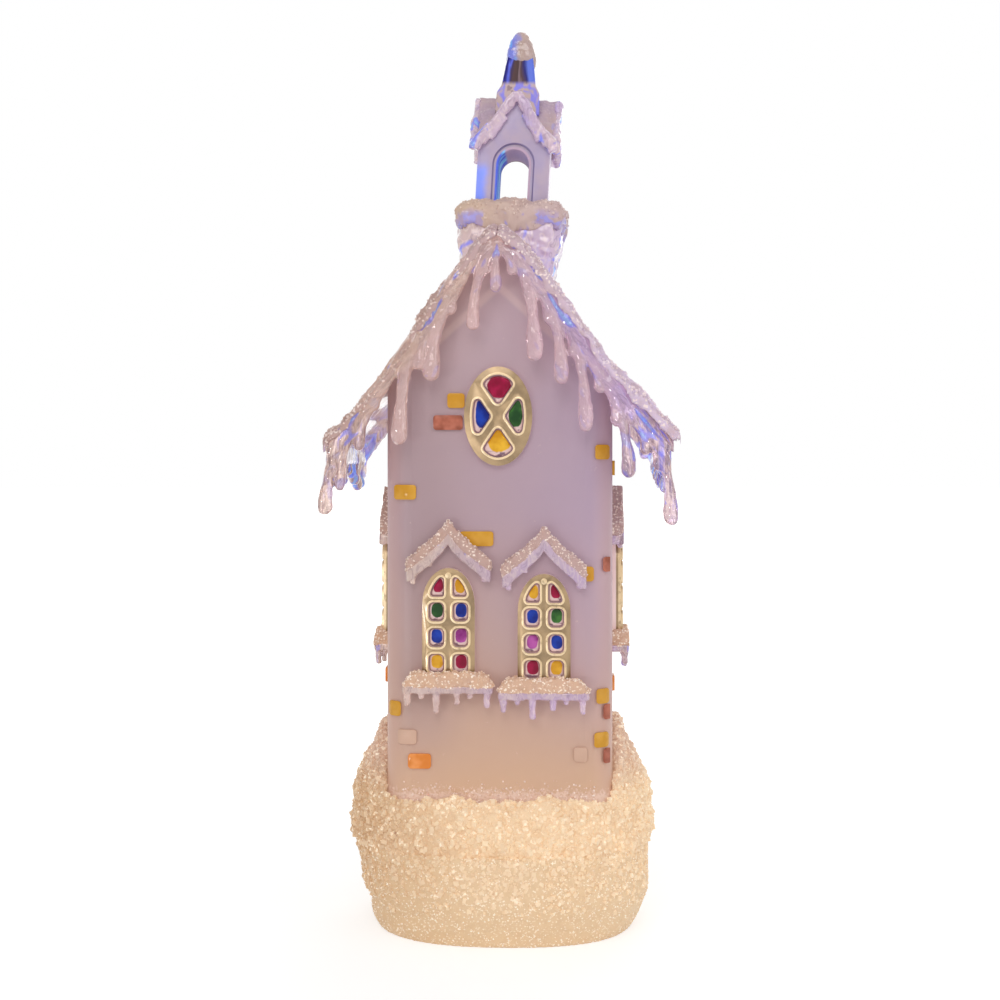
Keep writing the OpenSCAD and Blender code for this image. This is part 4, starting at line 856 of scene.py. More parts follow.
def swell(obj, depth):
    """Moves every point outward, to give back what smoothing took."""
    mesh = obj.data
    normals = [v.normal.copy() for v in mesh.vertices]
    for v, n in zip(mesh.vertices, normals):
        v.co += n * depth
    mesh.update()
    return obj


def add_run(bm, path, radii, sides=10):
    """Adds a closed tube of changing radius along points."""
    rings = []
    for i, p in enumerate(path):
        along = path[min(i + 1, len(path) - 1)] - path[max(i - 1, 0)]
        u = along.cross(Vector((0, 1, 0.01))).normalized()
        w = u.cross(along).normalized()
        rings.append([bm.verts.new(p + radii[i] * (
            math.cos(math.tau * k / sides) * u + math.sin(math.tau * k / sides) * w))
            for k in range(sides)])
    for a, b in zip(rings, rings[1:]):
        for k in range(sides):
            bm.faces.new((a[k], a[(k + 1) % sides], b[(k + 1) % sides], b[k]))
    bm.faces.new(rings[0][::-1])
    bm.faces.new(rings[-1])


# Round end of a drop: distances below the tip and radii, in shares of the tip's radius
DROP_END = [(0.35, 0.86), (0.65, 0.62), (0.85, 0.3)]


def finger(bm, root, bend, tip, r):
    """Adds an ice finger that runs from its root past a bend and hangs in a drop at its tip."""
    steps = 14
    path, radii = [], []
    for i in range(steps + 1):
        t = i / steps
        path.append(root * (1 - t) ** 2 + bend * 2 * t * (1 - t) + tip * t * t)
        neck = 0.92 - 0.26 * hump(t, 0.66, 0.15) + 0.12 * hump(t, 0.93, 0.08)
        radii.append(r * neck * min(1, 0.6 + 3 * t))
    end_r = radii[-1]
    for lift, share in DROP_END:
        path.append(tip + Vector((0, 0, -end_r * lift)))
        radii.append(end_r * share)
    add_run(bm, path, radii)


def band(bm, y0, y1, top, bottom, steps=40):
    """Adds a slab along both slopes of the roof between two drops below its upper face."""
    for side in (-1, 1):
        rows = []
        for i in range(steps + 1):
            x = HALF_ROOF * i / steps
            low = bottom * (0.8 + 0.2 * noise.noise(Vector((side * x * 160, 3, 0))))
            rows.append([bm.verts.new(Vector((side * x, y, roof_z(x) - d)))
                         for y, d in ((y0, top), (y1, top), (y1, low), (y0, low))])
        for a, b in zip(rows, rows[1:]):
            for k in range(4):
                quad = (a[k], a[(k + 1) % 4], b[(k + 1) % 4], b[k])
                bm.faces.new(quad if side > 0 else quad[::-1])
        bm.faces.new(rows[0][::-1] if side > 0 else rows[0])
        bm.faces.new(rows[-1] if side > 0 else rows[-1][::-1])


def ropes(bm, y, rand):
    """Adds strands of ice that run down both slopes on the face of the band."""
    for side in (-1, 1):
        for k in range(16):
            from_x = HALF_ROOF * (0.02 + 0.056 * k + 0.03 * rand.random())
            long = (8 + 8 * rand.random()) * MM
            depth = (2.6 + 4.4 * rand.random()) * MM
            thick = (0.8 + 0.7 * rand.random()) * MM
            path, radii = [], []
            for i in range(9):
                t = i / 8
                x = min(HALF_ROOF - 2 * MM, from_x + long * t)
                sink = depth + 3.4 * MM * t * t
                path.append(Vector((side * x, y + 0.3 * MM * rand.random(), roof_z(x) - sink)))
                radii.append(thick * (0.35 + 0.75 * math.sin(math.pi * min(1, t + 0.1))
                                      + 0.2 * rand.random()))
            add_run(bm, path, radii, 8)


# Fingers of a gable fringe: place of the tip as a share of the half roof, reach below the roof
# line in shares of the longest, and radius in shares of a large one; from left to right
FRINGE = [
    (-1.015, 0.77, 1.0), (-0.925, 0.68, 0.7), (-0.81, 0.5, 0.75), (-0.72, 0.3, 0.6),
    (-0.575, 0.975, 1.1), (-0.458, 0.51, 0.9), (-0.388, 0.79, 1.15), (-0.27, 0.42, 0.8),
    (-0.143, 0.85, 0.9), (-0.075, 0.4, 0.7), (-0.01, 0.62, 0.8), (0.085, 0.4, 0.7),
    (0.219, 1.0, 1.15), (0.3, 0.45, 0.8), (0.377, 0.855, 1.0), (0.45, 0.42, 0.8),
    (0.517, 0.987, 1.0), (0.6, 0.4, 0.8), (0.7, 0.5, 0.9), (0.768, 0.865, 0.95),
    (0.868, 0.42, 0.8), (0.94, 0.44, 0.8), (1.015, 0.87, 1.0)]
LONGEST_REACH = 31.5 * MM
# Past this share of the half roof, the rear gable's fingers are shorter by this factor
REAR_SHORT_FROM = 0.6
REAR_SHORT = 0.55


def gable_fringe(front):
    """Ice of one gable: a ropy sheet that runs down the slope and hangs in fingers; it stores how
    far each point hangs below the sheet."""
    ice = bpy.context.scene.church_ice
    mid_y = (FRINGE_LOW.y + FRINGE_HIGH.y) / 2
    side = 1 if front else -1
    bm = bmesh.new()
    band(bm, FRINGE_LOW.y + 2.0 * MM, FRINGE_HIGH.y, 0.2 * MM, 5.6 * MM)
    rand = random.Random(5 if front else 9)
    for place, reach, size in FRINGE:
        if not front and abs(place) > REAR_SHORT_FROM:
            reach *= REAR_SHORT
        x = place * (HALF_ROOF - 1.6 * MM)
        lean = math.copysign(min(1, abs(place) * 9), place)
        start = x - lean * (6 + 4 * rand.random()) * MM
        start = max(0, start * lean) * lean if lean else 0
        y = mid_y + (rand.random() - 0.6) * 0.5 * MM
        root = Vector((start, y, roof_z(start) - (2.6 + 2 * rand.random()) * MM))
        tip = Vector((x, y, roof_z(x) - LONGEST_REACH * reach + ice.finger_r * size * 0.6))
        bend = Vector((x - lean * 0.4 * MM, y, roof_z(x) - (5 + 3 * rand.random()) * MM))
        finger(bm, root, bend, tip, ice.finger_r * size)
    ropes(bm, FRINGE_LOW.y + 1.3 * MM, rand)
    for v in bm.verts:
        v.co.x *= side
        v.co.y *= side
    obj = fused(piece(bm, "front_ice" if front else "rear_ice"), ice.voxel * 0.9, 2)
    roughen(obj, 3.2 * MM, 0.45 * MM, 3 if front else 8)
    fit_inside(obj, "front_icicles" if front else "rear_icicles", 1.2 * MM)
    hang = obj.data.attributes.new("hang", "FLOAT", "POINT")
    for v, mark in zip(obj.data.vertices, hang.data):
        mark.value = held((roof_z(v.co.x) - v.co.z) / (4 * MM) - 1.8)
    return obj


def fit_inside(obj, node, spare=0.0):
    """Keeps a piece within the box of the node that it replaces."""
    low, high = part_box(node)
    for v in obj.data.vertices:
        for k in range(3):
            v.co[k] = min(max(v.co[k], low[k] - spare), high[k] + spare)
    obj.data.update()


# The belfry's gables in its own frame: half width, height of the feet and of the tops
GABLE_HALF = 13.6 * MM
GABLE_FOOT = 33 * MM
GABLE_TOP = 51 * MM


def in_belfry(p):
    """Place of a point of the belfry's own frame, whose origin is on the ridge."""
    c, s = math.cos(BELFRY_LEAN), math.sin(BELFRY_LEAN)
    return Vector((BELFRY_SHIFT + c * p.x + s * p.z, p.y, roof_z(0) - s * p.x + c * p.z))


def belfry_edges():
    """Thick ropes of ice over the belfry's four gables, with drops at their feet."""
    bm = bmesh.new()
    rand = random.Random(17)
    for turn in range(4):
        for side in (-1, 1):
            for strand in range(3):
                path, radii = [], []
                c, s = math.cos(turn * math.pi / 2), math.sin(turn * math.pi / 2)
                inset = strand * 1.5 * MM
                length = (1.0, 0.8, 0.6)[strand]
                start = rand.random() * 0.12 * strand
                for i in range(15):
                    t = start + (length - start) * i / 14
                    x = side * GABLE_HALF * t
                    z = GABLE_TOP - 1.2 * MM - (GABLE_TOP - GABLE_FOOT) * t - inset * 1.3
                    z -= max(0, t - length + 0.15) * 7 * MM
                    y = -GABLE_HALF - (0.3 - 0.3 * strand) * MM
                    path.append(in_belfry(Vector((x * c - y * s, x * s + y * c, z))))
                    wave = math.sin(9 * t + 2 * strand + turn)
                    thick = 1 + 0.28 * wave + 0.4 * max(0, 3 * (t - 0.72))
                    radii.append((1.35, 1.05, 0.9)[strand] * MM * thick)
                add_run(bm, path, radii)
    obj = fused(piece(bm, "belfry_edge_ice"), 0.4 * MM, 3)
    roughen(obj, 2.2 * MM, 0.5 * MM, 53)
    return obj


# Cap of the spire: heights over its foot and radii in millimetres, and the lobes that hang from
# it, each with its direction, how far it hangs and its radius
CAP_PROFILE = [(-1.4, 4.3), (0.0, 4.9), (1.5, 5.0), (3.4, 4.6), (6.0, 3.8), (8.0, 2.7), (9.2, 1.7)]
CAP_LOBES = [(-0.9, -0.5, 1.5, 1.4), (0.95, -0.35, 3.6, 1.5), (0.1, -1.0, 1.2, 1.3),
             (-0.3, 0.95, 2.2, 1.4), (0.7, 0.7, 1.6, 1.3), (-0.95, 0.4, 2.8, 1.4)]


def spire_cap():
    """Drop-shaped cap with lobes that hang over the shaft."""
    low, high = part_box("spire_snow")
    mid = Vector(((low.x + high.x) / 2, (low.y + high.y) / 2, 0))
    top = high.z - 1.0 * MM
    foot = top - CAP_PROFILE[-1][0] * MM
    bm = bmesh.new()
    add_run(bm, [mid + Vector((0, 0, foot + h * MM)) for h, r in CAP_PROFILE],
            [r * MM for h, r in CAP_PROFILE], 24)
    # Its rounds are squared so that they cover the shaft's corners
    for v in bm.verts:
        off = v.co - mid
        off.z = 0
        if off.length > 0:
            unit = off.normalized()
            v.co += off * ((unit.x ** 4 + unit.y ** 4) ** -0.25 - 1)
    for x, y, drop, r in CAP_LOBES:
        top_p = mid + Vector((x * 2.6 * MM, y * 2.6 * MM, foot + 3.6 * MM))
        end = mid + Vector((x * 4.0 * MM, y * 4.0 * MM, foot - drop * MM + 0.8 * MM))
        add_run(bm, [top_p, (top_p + end) / 2 + Vector((x, y, 0)) * 0.6 * MM, end,
                     end - Vector((0, 0, 0.9 * r * MM))],
                [r * MM, r * 1.05 * MM, r * 0.95 * MM, r * 0.4 * MM])
    obj = fused(piece(bm, "spire_cap"), 0.35 * MM, 3)
    roughen(obj, 2.6 * MM, 0.4 * MM, 57)
    fit_inside(obj, "spire_snow", 1.2 * MM)
    return obj


def eave_fringe(side):
    """Ice under one eave, hanging straight down."""
    ice = bpy.context.scene.church_ice
    bm = bmesh.new()
    rand = random.Random(21 + side)
    hand = "right" if side > 0 else "left"
    low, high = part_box(hand + "_icicles")
    mid_x = (low.x + high.x) / 2
    top = high.z
    count = 19
    slab = bmesh.ops.create_cube(bm, size=1)["verts"]
    for v in slab:
        v.co = Vector((mid_x + v.co.x * (high.x - low.x - 1.2 * MM),
                       v.co.y * (high.y - low.y - 1 * MM), top - 4.5 * MM + v.co.z * 6 * MM))
    for k in range(count):
        y = low.y + 2 * MM + (high.y - low.y - 4 * MM) * (k + 0.5 * rand.random()) / (count - 0.5)
        reach = (4 + 8 * rand.random()) * MM
        r = ice.finger_r * (0.6 + 0.4 * rand.random()) * 0.9
        root = Vector((mid_x, y + (rand.random() - 0.5) * 2 * MM, top - 3 * MM))
        tip = Vector((mid_x, y, top - 4 * MM - reach))
        finger(bm, root, (root + tip) / 2, tip, r)
    obj = fused(piece(bm, hand + "_eave_ice"), ice.voxel, 3)
    roughen(obj, 3 * MM, 0.4 * MM, 30 + side)
    fit_inside(obj, hand + "_icicles")
    return obj


# A crystal: edge of the cube that it is made from, share of it across, and a full turn
CRYSTAL_EDGE = 1.7
CRYSTAL_WIDTH = 0.7
FULL_TURN = 6.283


def grain_tree():
    """Node tree that strews small broken crystals over a surface."""
    tree = bpy.data.node_groups.new("strew_crystals", "GeometryNodeTree")
    face = tree.interface
    face.new_socket("Geometry", in_out="INPUT", socket_type="NodeSocketGeometry")
    for name, kind, default in (
            ("Density", "NodeSocketFloat", 1000.0), ("Smallest", "NodeSocketFloat", 0.0004),
            ("Largest", "NodeSocketFloat", 0.001), ("Flatness", "NodeSocketFloat", 0.6),
            ("Seed", "NodeSocketInt", 1), ("Lift", "NodeSocketFloat", 0.0),
            ("Lowest Up", "NodeSocketFloat", -2.0), ("Bare Height", "NodeSocketFloat", -1.0),
            ("Full Height", "NodeSocketFloat", -0.5), ("Finish", "NodeSocketMaterial", None)):
        made = face.new_socket(name, in_out="INPUT", socket_type=kind)
        if default is not None:
            made.default_value = default
    face.new_socket("Geometry", in_out="OUTPUT", socket_type="NodeSocketGeometry")

    def add(kind, values=None, **settings):
        return add_node(tree, kind, values, **settings)

    def drawn(low, high):
        return add("FunctionNodeRandomValue", {2: low, 3: high, "Seed": given["Seed"]},
                   data_type="FLOAT").outputs[1]

    given = add("NodeGroupInput").outputs
    up = add("ShaderNodeSeparateXYZ", {0: add("GeometryNodeInputNormal").outputs[0]})
    keep = add("FunctionNodeCompare", {0: up.outputs["Z"], 1: given["Lowest Up"]},
               data_type="FLOAT", operation="GREATER_THAN")
    place = add("ShaderNodeSeparateXYZ", {0: add("GeometryNodeInputPosition").outputs[0]})
    share = add("ShaderNodeMapRange", {
        0: place.outputs["Z"], 1: given["Bare Height"], 2: given["Full Height"], 3: 0.0, 4: 1.0})
    density = add("ShaderNodeMath", {0: share.outputs[0], 1: given["Density"]},
                  operation="MULTIPLY")
    points = add("GeometryNodeDistributePointsOnFaces", {
        "Mesh": given["Geometry"], "Selection": keep.outputs[0], "Density": density.outputs[0],
        "Seed": given["Seed"]}, distribute_method="RANDOM")
    crystal = add("GeometryNodeMeshCube", {"Size": (CRYSTAL_EDGE,) * 3})
    turn = add("FunctionNodeRandomValue", {
        0: (0.0, 0.0, 0.0), 1: (FULL_TURN,) * 3, "Seed": given["Seed"]},
        data_type="FLOAT_VECTOR")
    shape = add("ShaderNodeCombineXYZ", {
        0: 1.0, 1: CRYSTAL_WIDTH, 2: drawn(given["Flatness"], 1.0)})
    scale = add("ShaderNodeVectorMath", {
        0: shape.outputs[0], "Scale": drawn(given["Smallest"], given["Largest"])},
        operation="SCALE")
    strewn = add("GeometryNodeInstanceOnPoints", {
        "Points": points.outputs["Points"], "Instance": crystal.outputs["Mesh"],
        "Rotation": turn.outputs[0], "Scale": scale.outputs[0]})
    toned = add("GeometryNodeStoreNamedAttribute", {
        "Geometry": strewn.outputs["Instances"], "Name": "tone", "Value": drawn(0.0, 1.0)},
        data_type="FLOAT", domain="INSTANCE")
    whole = add("GeometryNodeRealizeInstances", {"Geometry": toned.outputs[0]})
    lift = add("ShaderNodeCombineXYZ", {2: given["Lift"]})
    raised = add("GeometryNodeSetPosition", {
        "Geometry": whole.outputs[0], "Offset": lift.outputs[0]})
    flat = add("GeometryNodeSetShadeSmooth", {
        "Geometry": raised.outputs[0], "Shade Smooth": False})
    painted = add("GeometryNodeSetMaterial", {
        "Geometry": flat.outputs[0], "Material": given["Finish"]})
    add("NodeGroupOutput", {0: painted.outputs[0]})
    return tree


def strew(surface, name, material, density, smallest, largest, flatness, seed, lowest_up=-2.0,
          lift=0.0, bare_height=-1.0, full_height=-0.5):
    """Crystals over a surface as a mesh piece of their own: how many to a square metre, their
    least and largest radius and their flatness; they can be kept off what leans or lies low."""
    if "strew_crystals" not in bpy.data.node_groups:
        grain_tree()
    tree = bpy.data.node_groups["strew_crystals"]
    obj = placed(name, surface.data.copy())
    nodes = obj.modifiers.new("strew", "NODES")
    nodes.node_group = tree
    values = {"Density": density, "Smallest": smallest, "Largest": largest, "Flatness": flatness,
              "Seed": seed, "Lowest Up": lowest_up, "Lift": lift, "Bare Height": bare_height,
              "Full Height": full_height, "Finish": material}
    for item in tree.interface.items_tree:
        if item.in_out == "INPUT" and item.name in values:
            nodes[item.identifier] = values[item.name]
    obj.update_tag()
    return baked(obj)


def frost_strip():
    """Finely divided strips on the front and rear wall, where the drift meets them."""
    bm = bmesh.new()
    step, corner, foot = 2 * MM, 6 * MM, 14
    count = int(2 * (HALF_NAVE.x - corner) / step)
    for side in (-1, 1):
        rows = [[bm.verts.new(Vector(((k - count / 2) * step, side * HALF_NAVE.y,
                                      DRIFT_FOOT + (foot + 2 * r) * MM)))
                 for k in range(count + 1)] for r in range(9)]
        for a, b in zip(rows, rows[1:]):
            for k in range(count):
                quad = (a[k], a[k + 1], b[k + 1], b[k])
                bm.faces.new(quad if side < 0 else quad[::-1])
    return piece(bm, "frost_strip")


def stand_out(obj):
    """Sets what is on the side walls further out from them."""
    for v in obj.data.vertices:
        proud = abs(v.co.x) - HALF_NAVE.x
        if proud > 0.5 * MM:
            v.co.x += math.copysign(proud * 0.5, v.co.x)
    obj.data.update()
    return obj


class CHURCH_OT_nave(bpy.types.Operator):
    """Frosted half shells of the nave with softly rounded corners"""
    bl_idname = "church.nave"
    bl_label = "Nave"

    def execute(self, context):
        for node, name in (("front_wall", "nave_front"), ("rear_wall", "nave_rear")):
            dress(piece(copy_of(node), name, 30), frosted(), "frosted", node)
        return {"FINISHED"}


def snow_shift(off, left):
    """How far the roof snow moves to the right, by its distance from the ridge; in millimetres."""
    if left:
        return 2.0 - 1.7 * hump(off, 24, 5) + 1.4 * hump(off, 35, 4)
    return -0.3 + 2.9 * held((off - 36) / 8)


def lay_roof_snow(bed, left):
    """Shapes the front edge of the roof snow and lets it lip over both verges."""
    for v in bed.data.vertices:
        off = abs(v.co.x) / MM
        near = held((-v.co.y / MM - 8) / 12)
        v.co.x += snow_shift(off, left) * MM * min(1, off / 9) * near
        over = min(1, (abs(v.co.y) - HALF_DEPTH - 1.5 * MM) / MM)
        if over > 0:
            v.co.z -= 2.6 * MM * (1 + 0.8 * noise.noise(v.co / (5 * MM))) * over
            v.co.y += math.copysign(0.5 * MM * over, v.co.y)


class CHURCH_OT_roof(bpy.types.Operator):
    """Clear roof panels and the granular snow on them"""
    bl_idname = "church.roof"
    bl_label = "Roof and its snow"

    def execute(self, context):
        snow = context.scene.church_snow
        for node in ("roof_left", "roof_right"):
            repaint(node, CLEAR_ICE())
        for k, node in enumerate(("roof_snow_left", "roof_snow_right")):
            bed = fused_copy(node, node.replace("roof_snow", "snow_bed"), 0.9 * MM, 2)
            roughen(bed, 3.0 * MM, 1.3 * MM, 12 + k)
            lay_roof_snow(bed, k == 0)
            fit_inside(bed, node, 0.5 * MM)
            grains = strew(bed, node.replace("roof_snow", "snow_grains"), ROOF_SNOW(),
                           snow.roof_density, 0.2 * MM, snow.grain, 0.4, 4 + k,
                           lowest_up=0.05, lift=-0.3 * MM)
            fit_inside(grains, node, 0.3 * MM)
            dress(bed, ROOF_SNOW(), "grain_snow", node)
            dress(grains, ROOF_SNOW(), "grain_snow")
        return {"FINISHED"}


class CHURCH_OT_ice(bpy.types.Operator):
    """Ice fringes of the gables and the eaves"""
    bl_idname = "church.ice"
    bl_label = "Ice fringes"

    def execute(self, context):
        for front, node in ((True, "front_icicles"), (False, "rear_icicles")):
            dress(gable_fringe(front), VERGE_ICE() if front else REAR_ICE(), "clear_ice", node)
        for side, node in ((-1, "left_icicles"), (1, "right_icicles")):
            dress(eave_fringe(side), EAVE_ICE(), "clear_ice", node)
        return {"FINISHED"}


class CHURCH_OT_collar(bpy.types.Operator):
    """Icy collar under the belfry with its lumpy snow"""
    bl_idname = "church.collar"
    bl_label = "Collar"

    def execute(self, context):
        snow = context.scene.church_snow
        block = fused_copy("collar", "collar_ice", 0.6 * MM, 4)
        swell(block, 0.4 * MM)
        roughen(block, 5 * MM, 1.6 * MM, 41)
        fit_inside(block, "collar", 0.8 * MM)
        dress(block, COLLAR_ICE(), "clear_ice", "collar")
        bed = fused_copy("collar_snow", "collar_bed", 0.7 * MM, 3)
        swell(bed, 0.3 * MM)
        roughen(bed, 5 * MM, 1.8 * MM, 44)
        low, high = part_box("collar_snow")
        for v in bed.data.vertices:
            down = 1 - (v.co.z - low.z) / (0.5 * (high.z - low.z))
            if down > 0:
                wave = noise.noise(Vector((v.co.x, v.co.y, 0)) / (6 * MM))
                v.co.z -= down * (1.2 + 3.0 * wave) * MM
            elif v.co.x < 0:
                v.co.z -= 1.2 * MM * min(1, -v.co.x / (7 * MM)) * -down
        fit_inside(bed, "collar_snow", 1.6 * MM)
        grains = strew(bed, "collar_grains", collar_snow_finish(), snow.roof_density, 0.25 * MM,
                       snow.grain * 0.8, 0.5, 46, lowest_up=0.1, lift=-0.2 * MM)
        dress(bed, collar_snow_finish(), "grain_snow", "collar_snow")
        dress(grains, collar_snow_finish(), "grain_snow")
        return {"FINISHED"}


class CHURCH_OT_belfry(bpy.types.Operator):
    """Belfry tower, its icy cross-gabled roof and the spire"""
    bl_idname = "church.belfry"
    bl_label = "Belfry"

    def execute(self, context):
        tower = rounded("belfry_tower", "belfry_walls", 0.7 * MM, 3)
        dress(tower, tower_finish(), "frosted", "belfry_tower")
        roof = fused_copy("belfry_roof", "belfry_roof_ice", 0.5 * MM, 5)
        roughen(roof, 2.5 * MM, 0.5 * MM, 51)
        dress(roof, glitter_ice(), "glitter_ice", "belfry_roof")
        dress(belfry_edges(), BELFRY_ICE(), "clear_ice", "belfry_icicles")
        shaft = fused_copy("spire", "spire_shaft", 0.4 * MM, 4)
        dress(shaft, dark_ice(), "clear_ice", "spire")
        dress(spire_cap(), cap_ice(), "glitter_ice", "spire_snow")
        return {"FINISHED"}


class CHURCH_OT_windows(bpy.types.Operator):
    """Gilded frames with rounded rims, and domed enamel panes"""
    bl_idname = "church.windows"
    bl_label = "Windows"

    def execute(self, context):
        for node in sorted(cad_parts):
            if node.endswith("_frame") or "_window_" in node:
                name = node.replace("frame", "gilt").replace("window", "gilt")
                dress(stand_out(rounded(node, name, 0.22 * MM)), gilt(), "gilt", node)
        for node, paint in ENAMELS.items():
            obj = fused_copy(node, node.replace("panes", "enamel"), 0.24 * MM, 14)
            stand_out(measure_lights(obj))
            dress(obj, paint(), node.replace("panes", "enamel"), node)
        return {"FINISHED"}


class CHURCH_OT_hoods(bpy.types.Operator):
    """Icy hoods over the windows and sills under them, with glittering snow"""
    bl_idname = "church.hoods"
    bl_label = "Hoods and sills"

    def execute(self, context):
        snow = context.scene.church_snow
        for node, name, seed in (("window_hoods", "hood_drips", 61),
                                 ("sill_icicles", "sill_drips", 63)):
            obj = fused_copy(node, name, 0.35 * MM, 4)
            swell(obj, 0.35 * MM)
            roughen(obj, 2.4 * MM, 0.5 * MM, seed)
            fit_inside(obj, node, 0.2 * MM)
            dress(obj, HOOD_ICE(), "clear_ice", node)
        for node, name, seed, finish in (("hood_snow", "hood_bed", 65, HOOD_SNOW),
                                         ("sill_snow", "sill_bed", 67, SILL_SNOW)):
            bed = fused_copy(node, name, 0.4 * MM, 5)
            swell(bed, 0.3 * MM)
            roughen(bed, 2.6 * MM, 0.9 * MM, seed)
            fit_inside(bed, node, 0.2 * MM)
            grains = strew(bed, name.replace("bed", "grains"), finish(),
                           snow.roof_density * 1.8, 0.12 * MM, 0.36 * MM, 0.5, seed + 1)
            fit_inside(grains, node, 0.2 * MM)
            dress(bed, finish(), "grain_snow", node)
            dress(grains, finish(), "grain_snow")
        return {"FINISHED"}


class CHURCH_OT_bricks(bpy.types.Operator):
    """Raised bricks in amber, copper and orange paint"""
    bl_idname = "church.bricks"
    bl_label = "Bricks"

    def execute(self, context):
        for node, paint in BRICK_PAINTS.items():
            name = node.replace("bricks", "brick")
            dress(rounded(node, name, 0.25 * MM, angle=50), paint(), name, node)
        obj = rounded("bricks_clear", "brick_frosted", 0.25 * MM, angle=50)
        dress(obj, clear_brick(), "frosted", "bricks_clear")
        return {"FINISHED"}


def shift_foot(foot):
    """Moves the base's rounded sides a little to the right, below the drift."""
    for v in foot.data.vertices:
        if v.normal.x * v.co.x > 0:
            up = v.co.z / MM
            share = held((24 - up) / 8)
            if v.co.x < 0:
                share = held((27 - up) / 4) * held((up - 3) / 7) + 0.7 * hump(up, 9.5, 3)
            v.co.x += 1.6 * MM * share * min(1, abs(v.co.x) / (30 * MM))


def narrow_drift(bed):
    """Leans the drift's left side out a little and draws the tops of both its ends in."""
    top_from, top_over, end_from, draw = 48 * MM, 10 * MM, 41 * MM, 1.8 * MM
    for v in bed.data.vertices:
        v.co.x -= 0.8 * MM * max(0, -v.co.x / HALF_ROOF)
        if abs(v.co.x) > end_from:
            v.co.x -= math.copysign(draw, v.co.x) * held((v.co.z - top_from) / top_over)


class CHURCH_OT_base(bpy.types.Operator):
    """Glittering base and the flaky drift round the nave"""
    bl_idname = "church.base"
    bl_label = "Base and drift"

    def execute(self, context):
        snow = context.scene.church_snow
        foot = fused_copy("base_shell", "base_snow", 1.0 * MM, 2)
        swell(foot, 0.5 * MM)
        roughen(foot, 14 * MM, 0.9 * MM, 71, keep_below=2 * MM)
        shift_foot(foot)
        fit_inside(foot, "base_shell")
        glints = strew(foot, "base_grains", BASE_SNOW(), snow.roof_density * 0.8, 0.1 * MM,
                       0.28 * MM, 0.5, 72)
        fit_inside(glints, "base_shell")
        apron = strew(foot, "apron_flakes", DRIFT_SNOW(), snow.drift_density, 0.35 * MM,
                      snow.flake * 0.8, 0.25, 73, bare_height=10 * MM, full_height=26 * MM)
        fit_inside(apron, "base_shell", 0.3 * MM)
        dress(foot, BASE_SNOW(), "base_snow", "base_shell")
        dress(glints, BASE_SNOW(), "base_snow")
        dress(apron, DRIFT_SNOW(), "flaky_snow")
        bed = fused_copy("snow_drift", "drift_bed", 1.0 * MM, 3)
        roughen(bed, 7 * MM, 1.6 * MM, 75)
        roughen(bed, 2.4 * MM, 1.1 * MM, 76)
        narrow_drift(bed)
        fit_inside(bed, "snow_drift", 0.5 * MM)
        flakes = strew(bed, "drift_flakes", DRIFT_SNOW(), snow.drift_density * 0.6, 0.3 * MM,
                       snow.flake, 0.22, 77)
        dust = strew(bed, "drift_dust", DRIFT_SNOW(), snow.drift_density * 2.2, 0.15 * MM,
                     0.5 * MM, 0.4, 79)
        strip = frost_strip()
        frost = strew(strip, "wall_frost", WALL_FROST(), snow.drift_density * 4.0, 0.1 * MM,
                      0.32 * MM, 0.4, 81, bare_height=DRIFT_FOOT + 23 * MM,
                      full_height=DRIFT_FOOT + 17 * MM)
        bpy.data.objects.remove(strip)
        dress(frost, WALL_FROST(), "flaky_snow")
        dress(bed, DRIFT_SNOW(), "flaky_snow", "snow_drift")
        for loose in (flakes, dust):
            dress(loose, DRIFT_SNOW(), "flaky_snow")
        return {"FINISHED"}


class CHURCH_OT_inside(bpy.types.Operator):
    """Plastic, steel and circuit board finishes of the underside and the inner pieces"""
    bl_idname = "church.inside"
    bl_label = "Underside and inner pieces"

    def execute(self, context):
        for node, finish in INNER_FINISHES.items():
            repaint(node, finish())
        return {"FINISHED"}


def white_rays(f):
    """1 for the rays that show the white background: to the camera, mirrored or through glass."""
    seen, *others = (f.node("ShaderNodeLightPath", out=name) for name in (
        "Is Camera Ray", "Is Glossy Ray", "Is Transmission Ray"))
    for ray in others:
        seen = seen.most(ray)
    return seen


WHITE = (1, 1, 1, 1)
LAMP_AIM = Vector((0, 0, 0.15))
# Lamps: name, place and width in metres, and power in watts
LAMPS = [("glint", (-0.45, -0.8, 0.0), 0.09, 1.5), ("key", (-0.1, -0.9, 0.75), 0.6, 3.2),
         ("fill", (0.8, -0.6, 0.35), 0.8, 2.0), ("rim", (0.2, 0.8, 0.7), 0.8, 2.5)]
# Light of the world on the object, the strength of the floor's white and the floor's radius
WORLD_LIGHT = 0.52
FLOOR_WHITE = 1.35
FLOOR_R = 6


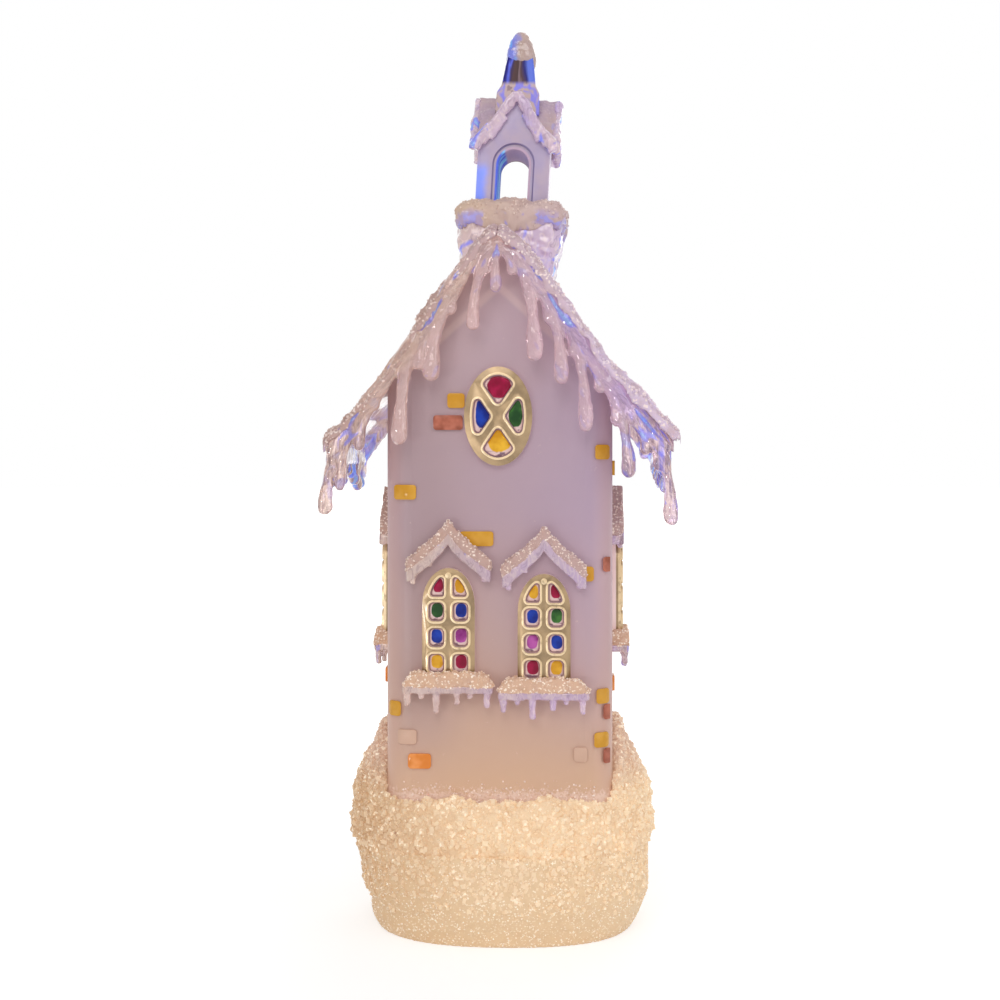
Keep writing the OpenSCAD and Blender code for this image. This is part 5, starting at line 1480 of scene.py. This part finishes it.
class CHURCH_OT_stage(bpy.types.Operator):
    """Floor, studio lamps, world and camera"""
    bl_idname = "church.stage"
    bl_label = "Stage"

    def execute(self, context):
        self.floor()
        self.lamps()
        self.world()
        self.camera(context.scene.church_stage)
        context.scene.view_settings.view_transform = "Standard"
        return {"FINISHED"}

    def floor(self):
        bm = bmesh.new()
        bmesh.ops.create_circle(bm, cap_ends=True, radius=FLOOR_R, segments=64)
        obj = placed("floor", mesh_of(bm, "floor"))
        f = Finish("floor_paper")
        grain = f.noise(40, 2)
        paper = f.node("ShaderNodeBsdfPrincipled", {
            "Base Color": f.mix(grain, (250, 249, 248), (254, 254, 253)),
            "Roughness": 0.9})
        white = f.node("ShaderNodeEmission", {"Color": WHITE, "Strength": FLOOR_WHITE})
        far = f.node("ShaderNodeVectorMath", {0: f.place}, "Value", operation="LENGTH")
        seen = white_rays(f) * (0.45 + far.smooth(0.09, 0.26) * 0.55)
        f.output(f.node("ShaderNodeMixShader", {0: seen, 1: paper, 2: white}))
        obj.data.materials.append(f.material)

    def lamps(self):
        for name, place, size, power in LAMPS:
            lamp = bpy.data.lights.new(name, "AREA")
            lamp.size = size
            lamp.energy = power
            obj = placed(name, lamp)
            obj.location = place
            aim = LAMP_AIM - Vector(place)
            obj.rotation_euler = aim.to_track_quat("-Z", "Y").to_euler()

    def world(self):
        world = bpy.data.worlds.new("studio")
        bpy.context.scene.world = world
        f = Finish("studio", world)
        soft, white = (f.node("ShaderNodeBackground", {"Color": WHITE, "Strength": strength})
                       for strength in (WORLD_LIGHT, 1.0))
        f.output(f.node("ShaderNodeMixShader", {0: white_rays(f), 1: soft, 2: white}), "World")

    def camera(self, stage):
        data = bpy.data.cameras.new("portrait")
        data.lens = stage.lens
        data.sensor_width = 36
        data.shift_y = stage.horizon
        data.shift_x = stage.aside
        data.clip_start = 0.01
        obj = placed("portrait", data)
        obj.location = (stage.distance * math.sin(stage.azimuth),
                        -stage.distance * math.cos(stage.azimuth), stage.height)
        obj.rotation_euler = (math.pi / 2, 0, stage.azimuth)
        bpy.context.scene.camera = obj


OPERATORS = (
    CHURCH_OT_nave, CHURCH_OT_roof, CHURCH_OT_ice, CHURCH_OT_collar, CHURCH_OT_belfry,
    CHURCH_OT_windows, CHURCH_OT_hoods, CHURCH_OT_bricks, CHURCH_OT_base, CHURCH_OT_inside,
    CHURCH_OT_stage)


class CHURCH_PT_panel(bpy.types.Panel):
    """Lists the pieces of the church ornament"""
    bl_label = "Church ornament"
    bl_idname = "CHURCH_PT_panel"
    bl_space_type = "VIEW_3D"
    bl_region_type = "UI"
    bl_category = "Church"

    def draw(self, context):
        for operator in OPERATORS:
            self.layout.operator(operator.bl_idname)
        for group in SETTINGS:
            for name in SETTINGS[group].__annotations__:
                self.layout.prop(getattr(context.scene, group), name)


SETTINGS = {"church_ice": IceSettings, "church_snow": SnowSettings, "church_paint": PaintSettings,
            "church_stage": StageSettings}


def register():
    for group, kind in SETTINGS.items():
        bpy.utils.register_class(kind)
        setattr(bpy.types.Scene, group, bpy.props.PointerProperty(type=kind))
    for kind in (*OPERATORS, CHURCH_PT_panel):
        bpy.utils.register_class(kind)


def unregister():
    for kind in (*OPERATORS, CHURCH_PT_panel):
        bpy.utils.unregister_class(kind)
    for group, kind in SETTINGS.items():
        delattr(bpy.types.Scene, group)
        bpy.utils.unregister_class(kind)


def main():
    register()
    for operator in OPERATORS:
        group, name = operator.bl_idname.split(".")
        getattr(getattr(bpy.ops, group), name)()


if __name__ == "__main__":
    main()
